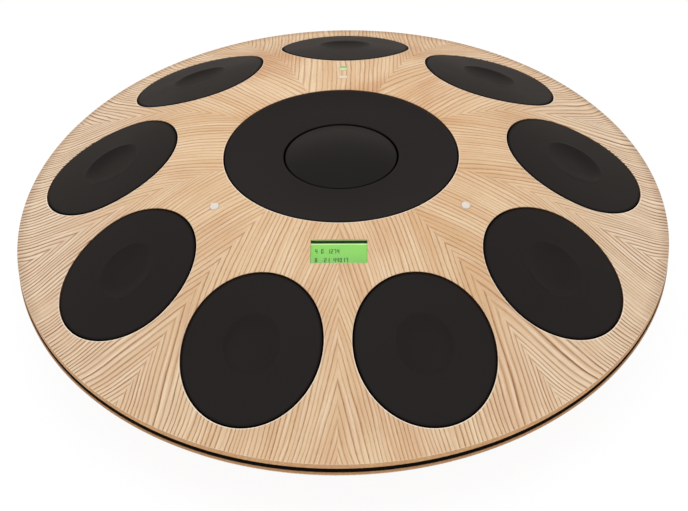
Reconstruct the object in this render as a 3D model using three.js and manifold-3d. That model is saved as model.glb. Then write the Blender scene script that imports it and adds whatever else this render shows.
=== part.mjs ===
import * as THREE from 'three';
import { mergeVertices } from 'three/addons/utils/BufferGeometryUtils.js';
import Module from 'manifold-3d';

const wasm = await Module();
wasm.setup();

// All sizes are in millimetres. +Z is up, -Y is the player's side, +X is the player's right.

// Clearances
const SEAT_GAP = 0.3; // between pieces that rest on one another
const PAD_GAP = 0.9; // slit seen round every pad
const TRAY_GAP = 1; // round the pieces that reach through the tray
const JOIN_DEPTH = 0.5; // overlap of two shapes that are one piece

// Wooden shells
const RIM_RADIUS = 240;
const SHELL_WALL = 4.2;
const SEAM_HEIGHT = 3.9; // black line between the two shells
const BRIM_WIDTH = 15.6;
const BRIM_ANGLE = 14.3;
const CROWN_RADIUS = 960;
const CROWN_END = 61.7;
const SHOULDER_RADIUS = 253.5;
const FLANK_ANGLE = 30.7;
const BASE_FLAT_RADIUS = 118;
const BASE_SHOULDER_RADIUS = 110;
const BASE_FLANK_ANGLE = 25.5;
const BASE_CHAMFER = 1.9; // under the rim of the lower shell

// Tone pads
const PAD_COUNT = 9;
const PAD_WIDTH = 99.4; // across; the length fills the room between the wooden band and the brim
const PAD_INSET = 0.2; // below the wood
const PAD_DEPTH = 8; // from the opening's plane to the underside
const PAD_TRAVEL = 1;
const FLANGE_WIDTH = 3;
const DIMPLE_WIDTH = 41;
const DIMPLE_DEPTH = 4.2;

// Centre pad and its dome
const DING_LENGTH = 170;
const DING_WIDTH = 149.2;
const CONTROL_BAND = 48.7; // wood between the centre pad and the tone pads
const DING_DEPTH = 12;
const DOME_LENGTH = 80.6;
const DOME_GAP = 1.1;
const DOME_RISE = 6.5;
const DOME_SINK = 0.6; // of its edge, below the centre pad

// Sensors and their tray
const SENSOR_THICKNESS = 1.7;
const SENSOR_MARGIN = 18; // from the pad's edge
const RING_MARGIN = 5; // of the ring sensor, from both edges of the centre pad
const TRAY_WALL = 2.5;
const TRAY_INSET = 12; // inside the ring of pads' outer ends
const TRAY_BOSS_RADIUS = 4;
const TRAY_BOSS_INSET = 16;

// Rim hoop and case screws
const LUG_RADIUS = 7;
const HOOP_RECESS = 0.4;
const SCREW_INSET = 14; // from the rim
const SCREW_SHANK_RADIUS = 1.8;
const SCREW_HEAD_RADIUS = 3.6;
const SCREW_HEAD_HEIGHT = 2.2;
const SCREW_HEAD_GAP = 0.6;
const SCREW_LENGTH = 9;
const SCREW_WOOD = 2.4; // wood left under a screw head

// Display
const DISPLAY_WIDTH = 39.5;
const DISPLAY_LENGTH = 20;
const DISPLAY_SHIFT = 0.7; // towards the player
const DISPLAY_CORNER = 0.8;
const WINDOW_RECESS = 2.4;
const WINDOW_THICKNESS = 0.7;
const MODULE_BORDER = 3;
const MODULE_THICKNESS = 3.6;

// Buttons and rear lights
const BUTTON_RADIUS = 3.1;
const BUTTON_RISE = 0.5;
const BUTTON_GAP = 0.35;
const BUTTON_FLANGE = 1.4;
const BUTTON_TRAVEL = 0.6;
const SWITCH_SIZE = 6;
const SWITCH_HEIGHT = 3;
const SWITCH_PLATE = 1.6;
const SWITCH_SPAN = 20;
const SWITCH_BORDER = 2;
const LEG_SIZE = 3;
const REAR_SPACING = 15;
const REAR_SHIFT = 1.5; // towards the tone pad behind
const LENS_WIDTH = 6.4;
const LENS_LENGTH = 4.6;
const LENS_CORNER = 0.8;
const LENS_RECESS = 0.1;

// Electronics inside
const BOARD_WIDTH = 140;
const BOARD_LENGTH = 84;
const BOARD_THICKNESS = 1.6;
const BOARD_DROP = 9; // below the tray
const POST_INSET = 5; // from the board's edges
const CHIP_HEIGHT = 2;
const BATTERY_WIDTH = 84;
const BATTERY_LENGTH = 42;
const BATTERY_HEIGHT = 20;
const BATTERY_CORNER = 4;
const BATTERY_SPACE = 5; // to the loudspeaker

// Loudspeaker in the base
const SPEAKER_RADIUS = 52;
const SPEAKER_HEIGHT = 32;
const SPEAKER_FLANGE = 3;
const MAGNET_RADIUS = 28;
const MAGNET_HEIGHT = 12;
const CONE_DEPTH = 11;
const DUST_CAP_RADIUS = 14;
const DUST_CAP_RISE = 4;
const SURROUND_WIDTH = 6;
const SURROUND_RISE = 2;
const GRILLE_LAP = 6; // of the loudspeaker's flange over the wood
const GRILLE_THICKNESS = 1.5;
const GRILLE_RIM = 2;
const GRILLE_MARGIN = 4;
const SLOT_WIDTH = 4;
const LONG_SLOT = 25.6;
const SHORT_SLOT = 16;

// Socket bay at the rear of the base
const BAY_WIDTH = 90;
const BAY_WALL = 3;
const BAY_ROOF_DROP = 16; // below the seam
const BAY_HEIGHT = 20;
const SOCKET_SPACING = 36;
const CHARGE_WIDTH = 9.2;
const CHARGE_HEIGHT = 3.6;
const CHARGE_WALL = 0.4;
const JACK_BORE_RADIUS = 3.2;
const JACK_BARREL_RADIUS = 5;
const JACK_BODY_WIDTH = 14;
const JACK_BODY_HEIGHT = 11;
const SOCKET_DEPTH = 14;
const SOCKET_RISE = 1;
const SOCKET_SHOULDER = 2;
const SOCKET_BACK = 2;

// Feet
const FOOT_HEIGHT = 4;
const FOOT_RADIUS = 9;
const FOOT_COUNT = 4;
const FOOT_CHAMFER = 1.2;
const FOOT_INSET = 4; // from the edge of the flat

// Fineness of round shapes
const TURN_STEPS = 36;
const SHOULDER_STEPS = 3;
const BRIM_STEPS = 2;
const DIMPLE_STEPS = 2;
const DOME_STEPS = 4;
const OVAL_STEPS = 12;
const ROUND_STEPS = 6;

const degrees = THREE.MathUtils.degToRad;

function toSolid(geometry) {
  const plain = geometry.index ? geometry.clone() : geometry;
  plain.deleteAttribute('normal');
  plain.deleteAttribute('uv');
  const merged = mergeVertices(plain, 1e-4);
  const points = merged.attributes.position;
  const corners = Array.from(merged.index.array);
  const a = new THREE.Vector3();
  const b = new THREE.Vector3();
  const c = new THREE.Vector3();
  const kept = [];
  let volume = 0;
  for (let i = 0; i < corners.length; i += 3) {
    const [p, q, r] = corners.slice(i, i + 3);
    if (p === q || q === r || r === p) continue;
    kept.push(p, q, r);
    a.fromBufferAttribute(points, p);
    b.fromBufferAttribute(points, q);
    c.fromBufferAttribute(points, r);
    volume += a.dot(b.cross(c));
  }
  if (volume < 0) kept.reverse();
  return new wasm.Manifold(new wasm.Mesh({
    numProp: 3,
    vertProperties: new Float32Array(points.array),
    triVerts: new Uint32Array(kept),
  }));
}

function toGeometry(solid) {
  const mesh = solid.getMesh();
  const geometry = new THREE.BufferGeometry();
  geometry.setAttribute('position', new THREE.BufferAttribute(new Float32Array(mesh.vertProperties), 3));
  geometry.setIndex(new THREE.BufferAttribute(new Uint32Array(mesh.triVerts), 1));
  geometry.computeVertexNormals();
  return geometry;
}

const join = (...solids) => solids.reduce((whole, solid) => whole.add(solid));
const cut = (body, ...tools) => tools.reduce((rest, tool) => rest.subtract(tool), body);
const common = (...solids) => solids.reduce((whole, solid) => whole.intersect(solid));

// A closed outline of radius and height, turned about Z.
function turn(outline, steps, scaleX = 1, scaleY = 1) {
  const points = outline.map(([radius, height]) => new THREE.Vector2(radius, height));
  const geometry = new THREE.LatheGeometry(points, steps);
  geometry.rotateX(Math.PI / 2);
  geometry.scale(scaleX, scaleY, 1);
  return toSolid(geometry);
}

// A flat outline drawn up from one level to another, then placed.
function prism(shape, from, to, place = new THREE.Matrix4(), steps = OVAL_STEPS) {
  const options = { depth: to - from, bevelEnabled: false, curveSegments: steps };
  const geometry = new THREE.ExtrudeGeometry(shape, options);
  geometry.translate(0, 0, from);
  geometry.applyMatrix4(place);
  return toSolid(geometry);
}

function oval(semiX, semiY, x = 0, y = 0) {
  return new THREE.Shape().absellipse(x, y, semiX, semiY, 0, 2 * Math.PI);
}

function rectangle(width, length, x = 0, y = 0) {
  const left = x - width / 2;
  const low = y - length / 2;
  const shape = new THREE.Shape();
  shape.moveTo(left, low);
  shape.lineTo(left + width, low);
  shape.lineTo(left + width, low + length);
  shape.lineTo(left, low + length);
  shape.closePath();
  return shape;
}

function softRectangle(width, length, corner, x = 0, y = 0) {
  const w = width / 2 - corner;
  const l = length / 2 - corner;
  const shape = new THREE.Shape();
  shape.absarc(x + w, y + l, corner, 0, Math.PI / 2);
  shape.absarc(x - w, y + l, corner, Math.PI / 2, Math.PI);
  shape.absarc(x - w, y - l, corner, Math.PI, 1.5 * Math.PI);
  shape.absarc(x + w, y - l, corner, 1.5 * Math.PI, 2 * Math.PI);
  shape.closePath();
  return shape;
}

function turned(solid, angle) {
  return toSolid(toGeometry(solid).rotateZ(angle));
}

// The meridian of a shell from its middle to the rim: crown, shoulder, straight flank, flatter brim.
function meridian(crownEnd, crownAngle, shoulderRadius, flankAngle) {
  const line = [{ radius: 0, drop: 0, slope: 0 }];
  const arc = (bend, from, to, steps) => {
    for (let step = 1; step <= steps; step += 1) {
      const last = line.at(-1);
      const slope = from + (to - from) * step / steps;
      line.push({
        radius: last.radius + bend * (Math.sin(slope) - Math.sin(last.slope)),
        drop: last.drop + bend * (Math.cos(last.slope) - Math.cos(slope)),
        slope,
      });
    }
  };
  if (crownAngle > 0) arc(crownEnd / Math.sin(crownAngle), 0, crownAngle, 1);
  else line.push({ radius: crownEnd, drop: 0, slope: 0 });
  arc(shoulderRadius, crownAngle, flankAngle, SHOULDER_STEPS);
  const shoulder = line.at(-1);
  const brimStart = RIM_RADIUS - BRIM_WIDTH;
  const flankDrop = (brimStart - shoulder.radius) * Math.tan(flankAngle);
  line.push({ radius: brimStart, drop: shoulder.drop + flankDrop, slope: flankAngle });
  const brimAngle = degrees(BRIM_ANGLE);
  arc(BRIM_WIDTH / (Math.sin(brimAngle) - Math.sin(flankAngle)), flankAngle, brimAngle, BRIM_STEPS);
  return line;
}

const edgeHeight = SHELL_WALL / Math.cos(degrees(BRIM_ANGLE));
const topLine = meridian(
  CROWN_END,
  Math.asin(CROWN_END / CROWN_RADIUS),
  SHOULDER_RADIUS,
  degrees(FLANK_ANGLE),
);
const baseLine = meridian(BASE_FLAT_RADIUS, 0, BASE_SHOULDER_RADIUS, degrees(BASE_FLANK_ANGLE));
const topRise = topLine.at(-1).drop + edgeHeight;
const baseRise = baseLine.at(-1).drop + edgeHeight;
const seamLow = FOOT_HEIGHT + baseRise;
const seamHigh = seamLow + SEAM_HEIGHT;

// The meridian moved inwards by a depth, and run on to the rim's radius.
function layer(line, rise, depth) {
  const outline = line.map(({ radius, drop, slope }) => [
    Math.max(0, radius - depth * Math.sin(slope)),
    rise - drop - depth * Math.cos(slope),
  ]);
  if (depth > 0) outline.push([RIM_RADIUS, edgeHeight - depth / Math.cos(degrees(BRIM_ANGLE))]);
  return outline;
}

const raised = (outline) => outline.map(([radius, height]) => [radius, seamHigh + height]);
const hung = (outline) => outline.map(([radius, height]) => [radius, seamLow - height]);

// Everything under a layer of the top shell, and everything above a layer of the base.
function underTop(depth) {
  return turn([...raised(layer(topLine, topRise, depth)), [RIM_RADIUS, 0], [0, 0]], TURN_STEPS);
}

function overBase(depth) {
  const ceiling = seamHigh + topRise;
  return turn([...hung(layer(baseLine, baseRise, depth)), [RIM_RADIUS, ceiling], [0, ceiling]], TURN_STEPS);
}

// Height of the top's outer face at a radius, with its slope.
function topAt(radius) {
  const next = topLine.findIndex((point) => point.radius >= radius);
  const outer = topLine[Math.max(1, next)];
  const inner = topLine[Math.max(1, next) - 1];
  const share = (radius - inner.radius) / (outer.radius - inner.radius);
  const drop = inner.drop + share * (outer.drop - inner.drop);
  const slope = inner.slope + share * (outer.slope - inner.slope);
  return { height: seamHigh + topRise - drop, slope };
}

// A place on the top: angles run clockwise from the back, local Z stands off the surface, local Y points out.
function place(angle, radius, height, slope) {
  return new THREE.Matrix4()
    .makeRotationZ(-angle)
    .multiply(new THREE.Matrix4().makeTranslation(0, radius, height))
    .multiply(new THREE.Matrix4().makeRotationX(-slope));
}

function placeOnTop(angle, radius) {
  const { height, slope } = topAt(radius);
  return place(angle, radius, height, slope);
}

// Lowest local height of the top's face over a set of local points, at the middle of its flat facets.
function lowestOver(frame, points) {
  const up = new THREE.Vector3(0, 0, 1).transformDirection(frame).z;
  const facet = Math.cos(Math.PI / TURN_STEPS);
  const heights = points.map(([x, y]) => {
    const point = new THREE.Vector3(x, y, 0).applyMatrix4(frame);
    return (topAt(Math.hypot(point.x, point.y) / facet).height - point.z) * up;
  });
  return Math.min(...heights);
}

// Tone pads lie on the chord of the meridian across their opening.
const padOuter = RIM_RADIUS - BRIM_WIDTH;
const padInner = DING_WIDTH / 2 + CONTROL_BAND;
const padLength = padOuter - padInner;
const padRing = (padInner + padOuter) / 2;
const padChordDrop = topAt(padInner).height - topAt(padOuter).height;
const padTilt = Math.atan(padChordDrop / padLength);
const padLevel = (topAt(padInner).height + topAt(padOuter).height) / 2;
const padStep = 2 * Math.PI / PAD_COUNT;
const padSemiX = PAD_WIDTH / 2;
const padSemiY = padLength / 2 / Math.cos(padTilt);
const padPlace = place(0, padRing, padLevel, padTilt);
const padMiddle = (topAt(padRing).height - padLevel) * Math.cos(padTilt);
const reach = 3 * PAD_DEPTH; // of the cuts through the top shell

// Level of the pad's flange, under the wood all round the opening
const padRound = [];
for (let step = 0; step < 2 * OVAL_STEPS; step += 1) {
  const angle = step * Math.PI / OVAL_STEPS;
  padRound.push([
    (padSemiX + FLANGE_WIDTH) * Math.cos(angle),
    (padSemiY + FLANGE_WIDTH) * Math.sin(angle),
  ]);
}
const padFlange = lowestOver(padPlace, padRound) - SHELL_WALL - SEAT_GAP;

// One oval outline, turned and then drawn out along the slope: dimple, rounded top, wall, flange, underside.
function tonePad() {
  const edge = padSemiX - PAD_GAP;
  const rim = DIMPLE_WIDTH / 2;
  const edgeHigh = lowestOver(padPlace, padRound) - PAD_INSET;
  const topHeight = (radius) => edgeHigh + (padMiddle - PAD_INSET - edgeHigh) * (1 - (radius / edge) ** 2);
  const outline = [];
  for (let step = 0; step <= DIMPLE_STEPS; step += 1) {
    const share = step / DIMPLE_STEPS;
    outline.push([rim * share, topHeight(rim * share) - DIMPLE_DEPTH * (1 - share * share)]);
  }
  outline.push(
    [edge - PAD_GAP, topHeight(edge - PAD_GAP)],
    [edge, edgeHigh - PAD_GAP],
    [edge, padFlange],
    [padSemiX + FLANGE_WIDTH, padFlange],
    [padSemiX + FLANGE_WIDTH, -PAD_DEPTH],
    [0, -PAD_DEPTH],
  );
  const geometry = toGeometry(turn(outline, 2 * OVAL_STEPS, 1, padSemiY / padSemiX));
  return toSolid(geometry.applyMatrix4(padPlace));
}

// Levels of the centre stack
const dingSemiX = DING_LENGTH / 2;
const dingSemiY = DING_WIDTH / 2;
const dingTop = topAt((dingSemiX + dingSemiY) / 2).height - SEAT_GAP;
const dingUnder = dingTop - DING_DEPTH;
const domeSemiX = DOME_LENGTH / 2;
const dingRatio = DING_WIDTH / DING_LENGTH;
const domeSemiY = domeSemiX * dingRatio;
const sensorHigh = dingUnder - PAD_TRAVEL - SEAT_GAP;
const deckHigh = sensorHigh - SENSOR_THICKNESS - SEAT_GAP;

// The centre pad and its dome share one oval.
function dingPad() {
  const inner = domeSemiX + DOME_GAP;
  const edge = dingSemiX - PAD_GAP;
  const flangeHigh = topAt(dingSemiX + FLANGE_WIDTH).height - SHELL_WALL - 2 * SEAT_GAP;
  const edgeHigh = topAt(dingSemiX).height - PAD_INSET;
  return turn([
    [inner, dingUnder],
    [inner, dingTop - PAD_GAP],
    [inner + PAD_GAP, dingTop],
    [(inner + edge) / 2, dingTop],
    [edge - PAD_GAP, edgeHigh],
    [edge, edgeHigh - PAD_GAP],
    [edge, flangeHigh],
    [dingSemiX + FLANGE_WIDTH, flangeHigh],
    [dingSemiX + FLANGE_WIDTH, dingUnder],
    [inner, dingUnder],
  ], 2 * OVAL_STEPS, 1, dingRatio);
}

function dingDome() {
  const edge = dingTop - DOME_SINK;
  const rise = DOME_RISE + DOME_SINK;
  const outline = [[0, edge + rise]];
  for (let step = 1; step < DOME_STEPS; step += 1) {
    const share = step / DOME_STEPS;
    outline.push([domeSemiX * share, edge + rise * (1 - share * share)]);
  }
  outline.push(
    [domeSemiX - PAD_GAP / 2, edge],
    [domeSemiX, edge - PAD_GAP],
    [domeSemiX, dingUnder],
    [0, dingUnder],
  );
  return turn(outline, 2 * OVAL_STEPS, 1, dingRatio);
}

// The sensor tray: a flat deck with one sloping flat under each tone pad.
const padUnder = -PAD_DEPTH - PAD_TRAVEL - SEAT_GAP;
const trayLocal = padUnder - SENSOR_THICKNESS - SEAT_GAP;
const trayOuter = padOuter - TRAY_INSET;

function trayLine(depth) {
  const radius = padRing + depth * Math.sin(padTilt);
  const height = padLevel + depth * Math.cos(padTilt);
  return {
    heightAt: (r) => height - (r - radius) * Math.tan(padTilt),
    radiusAt: (z) => radius + (height - z) / Math.tan(padTilt),
  };
}

const seamTurn = padStep / 2;

function pyramid(depth, deck, floor) {
  const line = trayLine(depth);
  const wide = RIM_RADIUS;
  const stretch = 1 / Math.cos(padStep / 2);
  const outline = [
    [0, deck],
    [line.radiusAt(deck) * stretch, deck],
    [wide * stretch, line.heightAt(wide)],
    [wide * stretch, floor],
    [0, floor],
  ];
  return turned(turn(outline, PAD_COUNT), Math.PI - seamTurn);
}

function boardPosts(from, to) {
  const posts = [];
  for (const x of [-1, 1]) {
    for (const y of [-1, 1]) {
      const spot = oval(
        TRAY_BOSS_RADIUS,
        TRAY_BOSS_RADIUS,
        x * (BOARD_WIDTH / 2 - POST_INSET),
        y * (BOARD_LENGTH / 2 - POST_INSET),
      );
      posts.push(prism(spot, from, to, undefined, ROUND_STEPS / 2));
    }
  }
  return posts;
}

const deckLow = deckHigh - TRAY_WALL;
const boardHigh = deckLow - BOARD_DROP;

function sensorTray(clearances) {
  const floor = trayLine(trayLocal).heightAt(RIM_RADIUS) - topRise / 2;
  const skin = cut(
    pyramid(trayLocal, deckHigh, floor),
    pyramid(trayLocal - TRAY_WALL, deckLow, floor - 1),
  );
  const disc = turn([[0, 0], [trayOuter, 0], [trayOuter, 2 * deckHigh], [0, 2 * deckHigh]], TURN_STEPS);
  const bosses = [];
  const bossRing = trayOuter - TRAY_BOSS_INSET;
  for (let index = 0; index < PAD_COUNT; index += 1) {
    const angle = seamTurn + index * padStep;
    const spot = oval(
      TRAY_BOSS_RADIUS,
      TRAY_BOSS_RADIUS,
      bossRing * Math.sin(angle),
      bossRing * Math.cos(angle),
    );
    bosses.push(prism(spot, deckHigh - topRise, 2 * deckHigh, undefined, ROUND_STEPS / 2));
  }
  const bonds = common(
    join(...bosses),
    underTop(SHELL_WALL + SEAT_GAP),
    pyramidAbove(trayLocal - TRAY_WALL / 2),
  );
  const tray = cut(common(skin, disc), ...clearances);
  return join(tray, bonds, ...boardPosts(boardHigh + SEAT_GAP, deckLow + JOIN_DEPTH));
}

// Everything over one level of the tray.
function pyramidAbove(depth) {
  const room = turn([[0, 0], [RIM_RADIUS, 0], [RIM_RADIUS, 3 * deckHigh], [0, 3 * deckHigh]], TURN_STEPS);
  return cut(room, pyramid(depth, deckHigh - TRAY_WALL / 2, -1));
}

function toneSensor() {
  const shape = oval(padSemiX - SENSOR_MARGIN, padSemiY - SENSOR_MARGIN);
  return prism(shape, padUnder - SENSOR_THICKNESS, padUnder, padPlace, ROUND_STEPS);
}

function dingSensor() {
  const shape = oval(dingSemiX - RING_MARGIN, dingSemiY - RING_MARGIN);
  const hole = oval(domeSemiX + DOME_GAP + RING_MARGIN, domeSemiY + DOME_GAP + RING_MARGIN);
  shape.holes.push(hole);
  return prism(shape, sensorHigh - SENSOR_THICKNESS, sensorHigh);
}

function domeSensor() {
  return prism(
    oval(domeSemiX - SENSOR_MARGIN, domeSemiY - SENSOR_MARGIN),
    sensorHigh - SENSOR_THICKNESS,
    sensorHigh,
    undefined,
    ROUND_STEPS,
  );
}

// Controls stand halfway between the centre pad and the ring of tone pads.
function controlRadius(angle) {
  const edge = 1 / Math.hypot(Math.sin(angle) / dingSemiX, Math.cos(angle) / dingSemiY);
  return (edge + padInner) / 2;
}

const frontPlace = placeOnTop(Math.PI, controlRadius(Math.PI) + DISPLAY_SHIFT);
const rearPlace = placeOnTop(0, controlRadius(0) + REAR_SHIFT);
const sideAngle = 3 * padStep;
const rightPlace = placeOnTop(sideAngle, controlRadius(sideAngle));
const leftPlace = placeOnTop(-sideAngle, controlRadius(sideAngle));

// Display
const moduleWidth = DISPLAY_WIDTH + 2 * MODULE_BORDER;
const moduleLength = DISPLAY_LENGTH + 2 * MODULE_BORDER;
const moduleCorners = [[1, 1], [1, -1], [-1, 1], [-1, -1]]
  .map(([x, y]) => [x * moduleWidth / 2, y * moduleLength / 2]);
const moduleHigh = lowestOver(frontPlace, moduleCorners) - SHELL_WALL - SEAT_GAP;
const windowLow = -WINDOW_RECESS - WINDOW_THICKNESS;

function displayShape(inset) {
  return softRectangle(DISPLAY_WIDTH - 2 * inset, DISPLAY_LENGTH - 2 * inset, DISPLAY_CORNER);
}

function displayWindow() {
  return prism(displayShape(SEAT_GAP), windowLow, -WINDOW_RECESS, frontPlace, 3);
}

function displayModule() {
  const glass = prism(displayShape(SEAT_GAP), moduleHigh - JOIN_DEPTH, windowLow - SEAT_GAP, frontPlace, 3);
  const frame = prism(
    rectangle(moduleWidth, moduleLength),
    moduleHigh - MODULE_THICKNESS,
    moduleHigh,
    frontPlace,
  );
  return join(glass, frame);
}

// Round push button with a flange under the wood
const flangeRadius = BUTTON_RADIUS + BUTTON_FLANGE;

function flangeLevel(frame) {
  const spots = [0, 1, 2, 3].map((k) => [
    2 * flangeRadius * Math.cos(k * Math.PI / 2),
    2 * flangeRadius * Math.sin(k * Math.PI / 2),
  ]);
  return lowestOver(frame, spots) - SHELL_WALL - SEAT_GAP;
}

function button(frame, y = 0) {
  const flangeHigh = flangeLevel(frame);
  const cap = prism(
    oval(BUTTON_RADIUS, BUTTON_RADIUS, 0, y),
    flangeHigh - JOIN_DEPTH,
    BUTTON_RISE,
    frame,
    ROUND_STEPS,
  );
  const flange = prism(
    oval(flangeRadius, flangeRadius, 0, y),
    flangeHigh - BUTTON_FLANGE,
    flangeHigh,
    frame,
    ROUND_STEPS,
  );
  return join(cap, flange);
}

function switchLevels(frame) {
  const high = flangeLevel(frame) - BUTTON_FLANGE - BUTTON_TRAVEL - SEAT_GAP;
  const plateHigh = high - SWITCH_HEIGHT;
  return { high, plateHigh, plateLow: plateHigh - SWITCH_PLATE };
}

// Switch plate hung under the wood on two legs; spots are the switch positions along local Y.
function switchPlate(frame, length, spots) {
  const { high, plateHigh, plateLow } = switchLevels(frame);
  const plate = prism(rectangle(plateWidth, length), plateLow, plateHigh, frame);
  const blocks = spots.map((y) => (
    prism(rectangle(SWITCH_SIZE, SWITCH_SIZE, 0, y), plateHigh - JOIN_DEPTH, high, frame)
  ));
  const posts = common(
    join(...legs.map((x) => prism(rectangle(LEG_SIZE, LEG_SIZE, x, 0), plateHigh - JOIN_DEPTH, 0, frame))),
    underTop(SHELL_WALL + SEAT_GAP),
  );
  return join(plate, ...blocks, posts);
}

const legs = [-SWITCH_SPAN / 2, SWITCH_SPAN / 2];
const plateWidth = SWITCH_SPAN + LEG_SIZE;
const sideLength = SWITCH_SIZE + 2 * SWITCH_BORDER;
const rearLength = sideLength + REAR_SPACING;
const rearSpots = [REAR_SPACING / 2, -REAR_SPACING / 2];

function chargeLight() {
  const flangeHigh = flangeLevel(rearPlace);
  const lens = prism(
    softRectangle(LENS_WIDTH, LENS_LENGTH, LENS_CORNER, 0, -REAR_SPACING / 2),
    flangeHigh - JOIN_DEPTH,
    lowestOver(rearPlace, [[0, -REAR_SPACING / 2]]) - LENS_RECESS,
    rearPlace,
    3,
  );
  const flange = prism(
    rectangle(LENS_WIDTH + 2 * BUTTON_FLANGE, LENS_LENGTH + 2 * BUTTON_FLANGE, 0, -REAR_SPACING / 2),
    switchLevels(rearPlace).high + SEAT_GAP,
    flangeHigh,
    rearPlace,
  );
  return join(lens, flange);
}

function trayClearance(frame, width, length) {
  const shape = rectangle(width + 2 * TRAY_GAP, length + 2 * TRAY_GAP);
  return prism(shape, -2 * reach, 0, frame);
}

// Shells
function topShell() {
  const outer = raised(layer(topLine, topRise, 0));
  const inner = raised(layer(topLine, topRise, SHELL_WALL)).reverse();
  const shell = turn([...outer, ...inner], TURN_STEPS);
  const openings = [];
  const padOpening = prism(oval(padSemiX, padSemiY), -reach, reach, padPlace);
  for (let index = 0; index < PAD_COUNT; index += 1) openings.push(turned(padOpening, -index * padStep));
  openings.push(prism(oval(dingSemiX, dingSemiY), dingUnder, dingTop + 3 * DING_DEPTH));
  openings.push(prism(displayShape(0), -reach, reach, frontPlace, 3));
  const hole = BUTTON_RADIUS + BUTTON_GAP;
  openings.push(prism(oval(hole, hole), -reach, reach, leftPlace, ROUND_STEPS));
  openings.push(prism(oval(hole, hole), -reach, reach, rightPlace, ROUND_STEPS));
  openings.push(prism(oval(hole, hole, 0, REAR_SPACING / 2), -reach, reach, rearPlace, ROUND_STEPS));
  const slot = softRectangle(
    LENS_WIDTH + 2 * SEAT_GAP,
    LENS_LENGTH + 2 * SEAT_GAP,
    LENS_CORNER,
    0,
    -REAR_SPACING / 2,
  );
  openings.push(prism(slot, -reach, reach, rearPlace, 3));
  return cut(shell, ...openings);
}

// Case screws stand on the seams between the tone pads.
const screwRing = RIM_RADIUS - SCREW_INSET;

function baseHeightAt(radius, depth) {
  const outline = hung(layer(baseLine, baseRise, depth));
  const next = Math.max(1, outline.findIndex(([r]) => r >= radius));
  const [outerRadius, outerHeight] = outline[next];
  const [innerRadius, innerHeight] = outline[next - 1];
  return innerHeight + (radius - innerRadius) / (outerRadius - innerRadius) * (outerHeight - innerHeight);
}

// Radius where the base's outer face reaches a height
function baseRadiusAt(height) {
  const outline = hung(layer(baseLine, baseRise, 0));
  const next = outline.findIndex(([, level]) => level >= height);
  const [outerRadius, outerHeight] = outline[next];
  const [innerRadius, innerHeight] = outline[next - 1];
  return innerRadius + (height - innerHeight) / (outerHeight - innerHeight) * (outerRadius - innerRadius);
}

const screwSeat = baseHeightAt(screwRing, SHELL_WALL) - SCREW_WOOD;

function screwSpot(index) {
  const angle = seamTurn + index * padStep;
  return [screwRing * Math.sin(angle), screwRing * Math.cos(angle)];
}

function screwPost(index, radius, from, to, steps = ROUND_STEPS / 2) {
  const [x, y] = screwSpot(index);
  return prism(oval(radius, radius, x, y), from, to, undefined, steps);
}

function caseScrew(index) {
  const headHigh = screwSeat - SEAT_GAP;
  const head = screwPost(index, SCREW_HEAD_RADIUS, headHigh - SCREW_HEAD_HEIGHT, headHigh);
  const shank = screwPost(index, SCREW_SHANK_RADIUS, headHigh - JOIN_DEPTH, headHigh + SCREW_LENGTH);
  return join(head, shank);
}

// The hoop fills the wedge between the shells at the rim, with a lug for each screw.
function rimHoop() {
  const outer = RIM_RADIUS - HOOP_RECESS;
  const inner = padOuter + FLANGE_WIDTH;
  const ceiling = seamHigh + topRise;
  const ring = turn(
    [[inner, 0], [outer, 0], [outer, ceiling], [inner, ceiling], [inner, 0]],
    TURN_STEPS,
  );
  const lugs = [];
  const holes = [];
  for (let index = 0; index < PAD_COUNT; index += 1) {
    lugs.push(screwPost(index, LUG_RADIUS, 0, ceiling));
    holes.push(screwPost(index, SCREW_SHANK_RADIUS + SEAT_GAP, 0, screwSeat + SCREW_LENGTH + SEAT_GAP));
  }
  const hoop = common(join(ring, ...lugs), underTop(SHELL_WALL + SEAT_GAP), overBase(SHELL_WALL + SEAT_GAP));
  return cut(hoop, ...holes);
}

// Socket bay: a pocket with a level roof and an upright face, flush with the base's flank.
const bayRoof = seamLow - BAY_ROOF_DROP;
const bayFace = baseRadiusAt(bayRoof - BAY_HEIGHT);
const bayRoom = 2 * RIM_RADIUS;

function bayBlock(growth) {
  const wall = BAY_WALL + growth;
  const shape = rectangle(
    BAY_WIDTH + 2 * wall,
    bayRoom,
    0,
    bayFace - wall + bayRoom / 2,
  );
  return prism(shape, -1, bayRoof + wall);
}

// Sockets stand halfway between the roof and the wood behind the face.
const socketLevel = (bayRoof + baseHeightAt(bayFace - BAY_WALL, SHELL_WALL)) / 2;
const socketSpots = { charge: -SOCKET_SPACING / 2, jack: SOCKET_SPACING / 2 };

// Upright outline drawn along Y, from one distance to another.
function along(shape, from, to, steps = OVAL_STEPS) {
  const lay = new THREE.Matrix4()
    .makeTranslation(0, 0, socketLevel)
    .multiply(new THREE.Matrix4().makeRotationX(Math.PI / 2));
  return prism(shape, -to, -from, lay, steps);
}

const socketOuter = bayFace + SOCKET_RISE;
const socketInner = bayFace - SOCKET_DEPTH;
const socketShoulder = bayFace - BAY_WALL - SEAT_GAP;

function chargeShape(growth) {
  const height = CHARGE_HEIGHT + 2 * growth;
  const nearlyRound = 0.47 * height;
  return softRectangle(CHARGE_WIDTH + 2 * growth, height, nearlyRound, socketSpots.charge, 0);
}

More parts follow.
